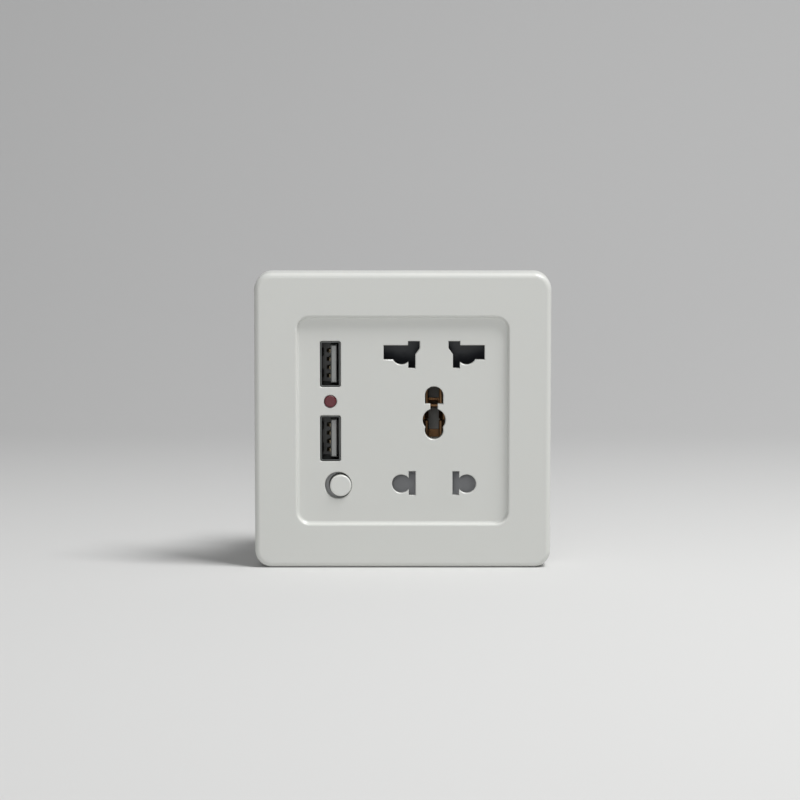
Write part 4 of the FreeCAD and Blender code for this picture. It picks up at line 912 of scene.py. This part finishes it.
@dataclass
class CurrentPath:
    """Bronze strips and jaws, brass blocks and their clamp screws."""

    workshop: Workshop
    poles: tuple[str, ...] = ("live", "neutral", "earth")
    sprung_poles: tuple[str, ...] = ("live", "neutral")
    outlets: tuple[str, ...] = ("three_pin", "two_pin")
    shank_mm: float = 1.7
    root_mm: float = 1.4
    thread_wire_mm: float = 0.24
    thread_pitch_mm: float = 0.7
    thread_start_mm: float = 0.2
    thread_sides: int = 4
    head_mm: float = 1.6
    head_joint_mm: float = 0.05
    head_clearance_mm: float = 0.5

    def build(self) -> None:
        """Dresses the strips, jaws, blocks and screws."""
        for pole in self.poles:
            # The strips' and jaws' bronze is darkened by painted shade of the deep slots
            dress(pole + "_bus", BRONZE)
            dress(pole + "_terminal", BRASS)
            self.clamp_screw(pole)
        dress("earth_jaw", BRONZE)
        for pole in self.sprung_poles:
            for outlet in self.outlets:
                dress(pole + "_jaw_" + outlet, BRONZE)

    def clamp_screw(self, pole: str) -> None:
        """A clamp screw whose shank is turned down to the root of a real thread.

        Args:
            pole: which terminal it belongs to.
        """
        low, high = box_mm(pole + "_screw")
        centre = (low + high) / 2
        shank_end = high.y - self.head_mm
        plain = welded(pole + "_screw")
        for vertex in plain.vertices:
            across = Vector((vertex.co.x / MM - centre.x, vertex.co.z / MM - centre.z))
            if vertex.co.y / MM < shank_end - self.head_joint_mm and across.length > self.root_mm:
                across *= self.root_mm / across.length
                vertex.co.x, vertex.co.z = (centre.x + across.x) * MM, (centre.z + across.y) * MM
        length = shank_end - low.y - self.head_clearance_mm
        thread = self.workshop.wound(NICKEL, self.shank_mm - self.thread_wire_mm, self.thread_wire_mm, length,
                                     length / self.thread_pitch_mm, 0.0, self.thread_sides)
        stood(thread, (centre.x, low.y + self.thread_start_mm, centre.z))
        name = pole + "_screw_threaded"
        finish_piece(name, joined([plain, thread], name), NICKEL, pole + "_clamp", (pole + "_screw",))


@dataclass
class Carcass:
    """The frame on the wall, the housing behind it and what joins them."""

    screws: int = 4
    block_depth_mm: float = 7.5
    mark_height_mm: float = 3.0
    mark_raise_mm: float = 0.4
    mark_sink_mm: float = 0.1
    live_mark_mm: Pair = (6.1, 16.6)
    neutral_mark_mm: Pair = (12.1, 16.6)
    earth_mark_mm: Pair = (1.0, -16.0)
    stroke_half_mm: float = 0.2
    earth_bar_step_mm: float = 0.65
    earth_bar_shares: tuple[float, ...] = (1.0, 0.65, 0.3)

    def build(self) -> None:
        """Dresses the frame, the housing, its shroud, its rear cover and the screws."""
        dress("mounting_frame", FRAME_WHITE)
        for node in ("socket_housing", "terminal_shroud", "module_rear_cover"):
            dress(node, HOUSING_GREY)
        for number in range(1, self.screws + 1):
            dress("assembly_screw_" + str(number), NICKEL)
        self.letter("L", "live_mark", self.live_mark_mm)
        self.letter("N", "neutral_mark", self.neutral_mark_mm)
        self.earth_mark()

    def wall_rear(self) -> float:
        """Depth of the middle wall's rear face, in millimetres, where the blocks stand."""
        return box_mm("live_terminal")[1].y - self.block_depth_mm

    def letter(self, text: str, name: str, place_mm: Pair) -> None:
        """A moulded letter that reads from behind.

        Args:
            text: the letter.
            name: the piece's name.
            place_mm: x and z of its middle.
        """
        curve = bpy.data.curves.new(name, "FONT")
        curve.body = text
        curve.size = self.mark_height_mm * MM
        curve.align_x, curve.align_y = "CENTER", "CENTER"
        curve.extrude = (self.mark_raise_mm + self.mark_sink_mm) / 2 * MM
        source = placed(name + "_curve", curve)
        mesh = bpy.data.meshes.new_from_object(source.evaluated_get(bpy.context.evaluated_depsgraph_get()))
        bpy.data.objects.remove(source)
        depth = self.wall_rear() + (self.mark_raise_mm - self.mark_sink_mm) / 2
        reading = Matrix.Rotation(math.radians(180), 4, "Z") @ Matrix.Rotation(math.radians(90), 4, "X")
        mesh.transform(Matrix.Translation((place_mm[0] * MM, depth * MM, place_mm[1] * MM)) @ reading)
        work = bmesh.new()
        work.from_mesh(mesh)
        bmesh.ops.remove_doubles(work, verts=work.verts, dist=WELD_MM * MM)
        bmesh.ops.recalc_face_normals(work, faces=work.faces)
        finish_piece(name, settled(work, mesh), HOUSING_GREY)

    def earth_mark(self) -> None:
        """The usual sign for earth: a stem over three bars that get shorter."""
        x, z = self.earth_mark_mm
        rear, half, thick = self.wall_rear(), self.mark_height_mm / 2, self.stroke_half_mm
        low, high = rear - self.mark_sink_mm, rear + self.mark_raise_mm
        bars = [bar((x - thick, low, z), (x + thick, high, z + half))]
        for row, share in enumerate(self.earth_bar_shares):
            reach, top = half * share, z - row * self.earth_bar_step_mm
            bars.append(bar((x - reach, low, top - 2 * thick), (x + reach, high, top)))
        finish_piece("earth_mark", joined(bars, "earth_mark"), HOUSING_GREY)


@dataclass
class Can:
    """A sleeved capacitor with its bare end, its vent and its printed band."""

    node: str
    sleeve_lap_mm: float = 0.75
    end_sink_mm: float = 0.3
    end_raise_mm: float = 0.12
    end_edge_mm: Pair = (0.1, 0.07)
    vent_share: float = 0.8
    vent_half_mm: float = 0.09
    vent_sink_mm: float = 0.02
    vent_raise_mm: float = 0.05
    band_margins_mm: Pair = (2.6, 0.7)
    band_raise_mm: float = 0.04
    band_sink_mm: float = 0.1
    band_degrees: range = range(60, 101, 5)

    def build(self) -> None:
        """Dresses the can and adds its end, its vent and its band."""
        dress(self.node, SLEEVE)
        low, high = box_mm(self.node)
        radius, y, z = (high.z - low.z) / 2, (low.y + high.y) / 2, (low.z + high.z) / 2
        deep, top = high.x - self.end_sink_mm, high.x + self.end_raise_mm
        bare = radius - self.sleeve_lap_mm
        edge, drop = self.end_edge_mm
        profile = [(0.0, deep), (bare, deep), (bare, top - drop), (bare - edge, top), (0.0, top)]
        finish_piece(self.node + "_end", turned(profile, (y, z), Axis.X), CAN_ALUMINIUM)
        under, over = top - self.vent_sink_mm, top + self.vent_raise_mm
        reach, half = self.vent_share * bare, self.vent_half_mm
        cross = [bar((under, y - wide, z - tall), (over, y + wide, z + tall))
                 for wide, tall in ((reach, half), (half, reach))]
        finish_piece(self.node + "_vent", joined(cross, self.node + "_vent"), CHIP_BLACK)
        outer, inner = radius + self.band_raise_mm, radius - self.band_sink_mm
        arc = [math.radians(degree) for degree in self.band_degrees]
        outline = [(y + outer * math.cos(turn), z + outer * math.sin(turn)) for turn in arc]
        outline += [(y + inner * math.cos(turn), z + inner * math.sin(turn)) for turn in reversed(arc)]
        margin, end_margin = self.band_margins_mm
        band = drawn_out(outline, low.x + margin, high.x - end_margin, Axis.X)
        finish_piece(self.node + "_band", band, STRIPE_GREY)


@dataclass(frozen=True)
class ChipRow:
    """Like parts in a row on the board: their height, and y and z of the first one's low corner."""

    name: str
    finish: Finish
    height_mm: float
    foot_mm: Pair


@dataclass(frozen=True)
class TrackRow:
    """Parallel copper tracks by y and z: the first one's corners, the step to the next, how many."""

    low_mm: Pair
    high_mm: Pair
    step_mm: Pair
    count: int


@dataclass
class Charger:
    """The board and its parts behind the ports."""

    workshop: Workshop
    cans: tuple[str, ...] = ("mains_capacitor", "output_capacitor")
    chip_rows: tuple[ChipRow, ...] = (ChipRow("resistor", CHIP_BLACK, 0.45, (6.6, -21.5)),
                                      ChipRow("ceramic", CERAMIC_TAN, 0.8, (6.6, -2.0)))
    part_count: int = 6
    part_step_mm: float = 2.6
    part_mm: Pair = (1.6, 0.8)
    part_edge_mm: float = 0.06
    tip_mm: float = 0.4
    tip_lap_mm: float = 0.25
    tip_raise_mm: float = 0.03
    tip_edge_mm: float = 0.04
    track_rows: tuple[TrackRow, ...] = (TrackRow((5.4, -22.0), (5.7, -8.0), (0.55, 1.2), 3),
                                        TrackRow((9.2, -9.8), (22.0, -9.4), (0.0, 0.9), 4))
    track_sink_mm: float = 0.05
    track_raise_mm: float = 0.04
    chip_at_mm: Pair = (20.2, -5.4)
    chip_half_mm: Pair = (1.95, 2.45)
    chip_standoff_mm: float = 0.12
    chip_top_mm: float = 1.5
    chip_edge_mm: float = 0.12
    legs_a_side: int = 4
    leg_step_mm: float = 1.27
    leg_mm: float = 0.4
    first_leg_mm: float = -2.1
    leg_crisp_deg: float = 30.0
    # Round a leg: height over the board, and reach from the chip's middle
    leg_outline: tuple[Pair, ...] = ((0.75, 1.9), (0.75, 2.3), (0.15, 2.55), (0.15, 3.0), (0.0, 3.0),
                                     (0.0, 2.45), (0.6, 2.2), (0.6, 1.9))
    # Along the fuse, a cap at each end: radius, and y
    fuse_profile: tuple[Pair, ...] = ((0.0, 8.9), (1.3, 8.9), (1.4, 9.0), (1.4, 10.9), (1.25, 11.0),
                                      (1.25, 14.8), (1.4, 14.9), (1.4, 16.8), (1.3, 16.9), (0.0, 16.9))
    fuse_at_mm: Pair = (1.5, -7.6)
    # Up the dipped disc: radius, and z
    disc_profile: tuple[Pair, ...] = ((0.0, -22.6), (2.6, -22.5), (3.2, -22.1), (3.4, -21.6), (3.2, -21.1),
                                      (2.6, -20.7), (0.0, -20.6))
    disc_at_mm: Pair = (3.9, 15.0)
    disc_leg_at_mm: Pair = (13.4, -21.8)
    disc_leg_mm: Pair = (1.6, 0.5)
    disc_leg_edge_mm: float = 0.08
    disc_leg_step_mm: float = 2.7

    def build(self) -> None:
        """Dresses the board and what stands on it."""
        for node, finish in (("charger_board", MASK_GREEN), ("transformer_core", FERRITE),
                             ("transformer_coil", TAPE), ("supply_lead_live", RED_PVC),
                             ("supply_lead_neutral", BLUE_PVC)):
            dress(node, finish)
        for can in self.cans:
            Can(can).build()
        for row in self.chip_rows:
            self.surface_parts(row)
        self.tracks()
        self.chip()
        self.fuse_and_disc()

    def face(self) -> float:
        """Where the board's face lies along X, in millimetres."""
        return box_mm("charger_board")[1].x

    def surface_parts(self, row: ChipRow) -> None:
        """A row of chip parts with tinned ends.

        Args:
            row: what the parts are and where they start.
        """
        face, (y, z), (length, width) = self.face(), row.foot_mm, self.part_mm
        step = (0.0, 0.0, self.part_step_mm)
        first = bar((face, y, z), (face + row.height_mm, y + length, z + width), self.part_edge_mm)
        body = self.workshop.repeated(first, row.finish, self.part_count, step)
        finish_piece(row.name + "_row", body, row.finish)
        over = self.tip_raise_mm
        top, side = face + row.height_mm + over, z + width + over
        ends = [bar((face, near, z - over), (top, near + self.tip_mm, side), self.tip_edge_mm)
                for near in (y - self.tip_lap_mm, y + length - self.tip_mm + self.tip_lap_mm)]
        tips = self.workshop.repeated(joined(ends, row.name + "_ends"), TINNED, self.part_count, step)
        finish_piece(row.name + "_row_ends", tips, TINNED)

    def tracks(self) -> None:
        """Copper tracks that show as lighter lines under the mask."""
        low, high = self.face() - self.track_sink_mm, self.face() + self.track_raise_mm
        rows = [self.workshop.repeated(bar((low, *row.low_mm), (high, *row.high_mm)), TRACK_GREEN, row.count,
                                       (0.0, *row.step_mm))
                for row in self.track_rows]
        finish_piece("copper_tracks", joined(rows, "copper_tracks"), TRACK_GREEN)

    def chip(self) -> None:
        """The converter's controller with its legs."""
        face, (y, z), (half_y, half_z) = self.face(), self.chip_at_mm, self.chip_half_mm
        body = bar((face + self.chip_standoff_mm, y - half_y, z - half_z),
                   (face + self.chip_top_mm, y + half_y, z + half_z), self.chip_edge_mm)
        finish_piece("controller_chip", body, CHIP_BLACK)
        legs = []
        start = z + self.first_leg_mm
        for side in (-1, 1):
            outline = [(face + height, y + side * reach) for height, reach in self.leg_outline]
            first = drawn_out(outline, start, start + self.leg_mm, Axis.Z)
            legs.append(self.workshop.repeated(first, TINNED, self.legs_a_side, (0.0, 0.0, self.leg_step_mm)))
        finish_piece("controller_legs", joined(legs, "controller_legs"), TINNED, crisp_deg=self.leg_crisp_deg)

    def fuse_and_disc(self) -> None:
        """A small ceramic fuse, and a dipped disc on two legs beside the mains capacitor."""
        face = self.face()
        for name, finish, profile, (height, across), axis in (
                ("mains_fuse", CERAMIC_TAN, self.fuse_profile, self.fuse_at_mm, Axis.Y),
                ("surge_disc", VARISTOR_BLUE, self.disc_profile, self.disc_at_mm, Axis.Z)):
            finish_piece(name, turned(list(profile), (face + height, across), axis), finish)
        (y, z), (tall, wide) = self.disc_leg_at_mm, self.disc_leg_mm
        leg = bar((face, y, z), (face + tall, y + wide, z + wide), self.disc_leg_edge_mm)
        legs = self.workshop.repeated(leg, TINNED, 2, (0.0, self.disc_leg_step_mm, 0.0))
        finish_piece("surge_disc_legs", legs, TINNED)


@dataclass(frozen=True)
class Lamp:
    """A soft square lamp that points at the plate. Its place and its side are in metres."""

    name: str
    place: Triple
    side: float
    watts: float

    def hang(self) -> None:
        """Puts the lamp in its place."""
        light = bpy.data.lights.new(self.name, "AREA")
        light.shape = "SQUARE"
        light.size = self.side
        light.energy = self.watts
        stand = placed(self.name, light)
        stand.location = self.place
        stand.rotation_euler = (-Vector(self.place)).to_track_quat("-Z", "Y").to_euler()


@dataclass
class Studio:
    """A pale sweep, soft lamps and the photograph's view. Its lengths are in metres."""

    # A big lamp overhead to the right, and a weak one beside the camera that reaches into the slots
    lamps: tuple[Lamp, ...] = (Lamp("overhead", (0.42, -0.24, 0.95), 0.36, 10.9),
                               Lamp("fill", (-0.12, -1.3, 0.24), 0.4, 2.2))
    room_colour: str = "#f4f5f6"
    room_strength: float = 0.3
    distance: float = 1.0
    elevation_deg: float = 6.5
    field_of_view_deg: float = 13.23
    image_width_px: float = 800.0
    plate_middle_px: Pair = (402.7, 421.0)
    pixels_per_mm: float = 3.45
    floor_colour: str = "#d2d2d1"
    # The backdrop's darker grey, and the blend from the floor into it, are painted shade
    backdrop_colour: str = "#b3b3b3"
    paper_roughness: float = 0.9
    fade_start: float = -0.05
    fade_end: float = 0.5
    floor_gap_mm: float = 0.05
    curve: float = 0.25
    curve_steps: int = 32
    back: float = 0.55
    height: float = 1.6
    half_width: float = 12.0
    reach: float = 12.0

    def build(self) -> None:
        """Sets up the floor, the lamps, the camera and the view."""
        self.floor()
        for lamp in self.lamps:
            lamp.hang()
        self.room()
        self.camera()
        bpy.context.scene.view_settings.view_transform = "Standard"

    def paper(self) -> Material:
        """Matt paper that is pale on the floor and greyer towards the backdrop, where the grey is painted
        shade.

        Returns:
            The material.
        """
        made = bpy.data.materials.new("matt_paper")
        made.use_nodes = True
        tree = made.node_tree
        shader = tree.nodes["Principled BSDF"]
        shader.inputs["Roughness"].default_value = self.paper_roughness
        place = add_node(tree, "ShaderNodeTexCoord")
        parts = add_node(tree, "ShaderNodeSeparateXYZ", None, {"Vector": place.outputs["Object"]})
        share = add_node(tree, "ShaderNodeMapRange", {"interpolation_type": "SMOOTHSTEP"}, {
            "Value": parts.outputs["Y"], "From Min": self.fade_start, "From Max": self.fade_end,
            "To Min": 0.0, "To Max": 1.0})
        mixed = add_node(tree, "ShaderNodeMix", {"data_type": "RGBA"}, {
            0: share.outputs["Result"], 6: linear(self.floor_colour), 7: linear(self.backdrop_colour)})
        tree.links.new(mixed.outputs[2], shader.inputs["Base Color"])
        return made

    def floor(self) -> None:
        """A floor that curves up into a backdrop."""
        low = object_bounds()[0].z - self.floor_gap_mm * MM
        profile = [(-self.reach, low), (self.back - self.curve, low)]
        for step in range(1, self.curve_steps + 1):
            turn = 0.5 * math.pi * step / self.curve_steps
            profile.append((self.back - self.curve * (1 - math.sin(turn)),
                            low + self.curve * (1 - math.cos(turn))))
        profile.append((self.back, low + self.height))
        vertices = [(side * self.half_width, y, z) for y, z in profile for side in (-1, 1)]
        faces = [(2 * i, 2 * i + 1, 2 * i + 3, 2 * i + 2) for i in range(len(profile) - 1)]
        mesh = bpy.data.meshes.new("sweep")
        mesh.from_pydata(vertices, [], faces)
        for polygon in mesh.polygons:
            polygon.use_smooth = True
        sweep = placed("sweep", mesh)
        mesh.materials.append(self.paper())
        sweep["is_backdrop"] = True

    def room(self) -> None:
        """The even pale light that comes from all round."""
        world = bpy.data.worlds.new("room")
        world.use_nodes = True
        sky = world.node_tree.nodes["Background"]
        sky.inputs["Color"].default_value = linear(self.room_colour)
        sky.inputs["Strength"].default_value = self.room_strength
        bpy.context.scene.world = world

    def camera(self) -> None:
        """The photograph's viewing angle and framing."""
        data = bpy.data.cameras.new("camera")
        data.sensor_fit = "HORIZONTAL"
        data.angle = math.radians(self.field_of_view_deg)
        camera = placed("camera", data)
        tilt = math.radians(self.elevation_deg)
        back = Vector((0.0, -math.cos(tilt), math.sin(tilt)))
        up = Vector((0.0, math.sin(tilt), math.cos(tilt)))
        face = Vector((0.0, CAD_BOX[0][1], 0.0))
        half = self.image_width_px / 2
        across = (self.plate_middle_px[0] - half) / self.pixels_per_mm * MM
        down = (self.plate_middle_px[1] - half) / self.pixels_per_mm * MM
        aim = face - Vector((across, 0.0, 0.0)) + up * down
        camera.location = aim + back * self.distance
        camera.rotation_euler = (-back).to_track_quat("-Z", "Y").to_euler()
        bpy.context.scene.camera = camera


def main() -> None:
    """Builds every sub-assembly and the studio."""
    logging.basicConfig(level=logging.INFO, format="%(name)s: %(message)s")
    workshop = Workshop()
    assemblies = [CoverPlate(), Ports(workshop), LampAndButton(workshop), Shutters(workshop),
                  CurrentPath(workshop), Carcass(), Charger(workshop)]
    for assembly in assemblies:
        assembly.build()
    Studio().build()


if __name__ == "__main__":
    main()
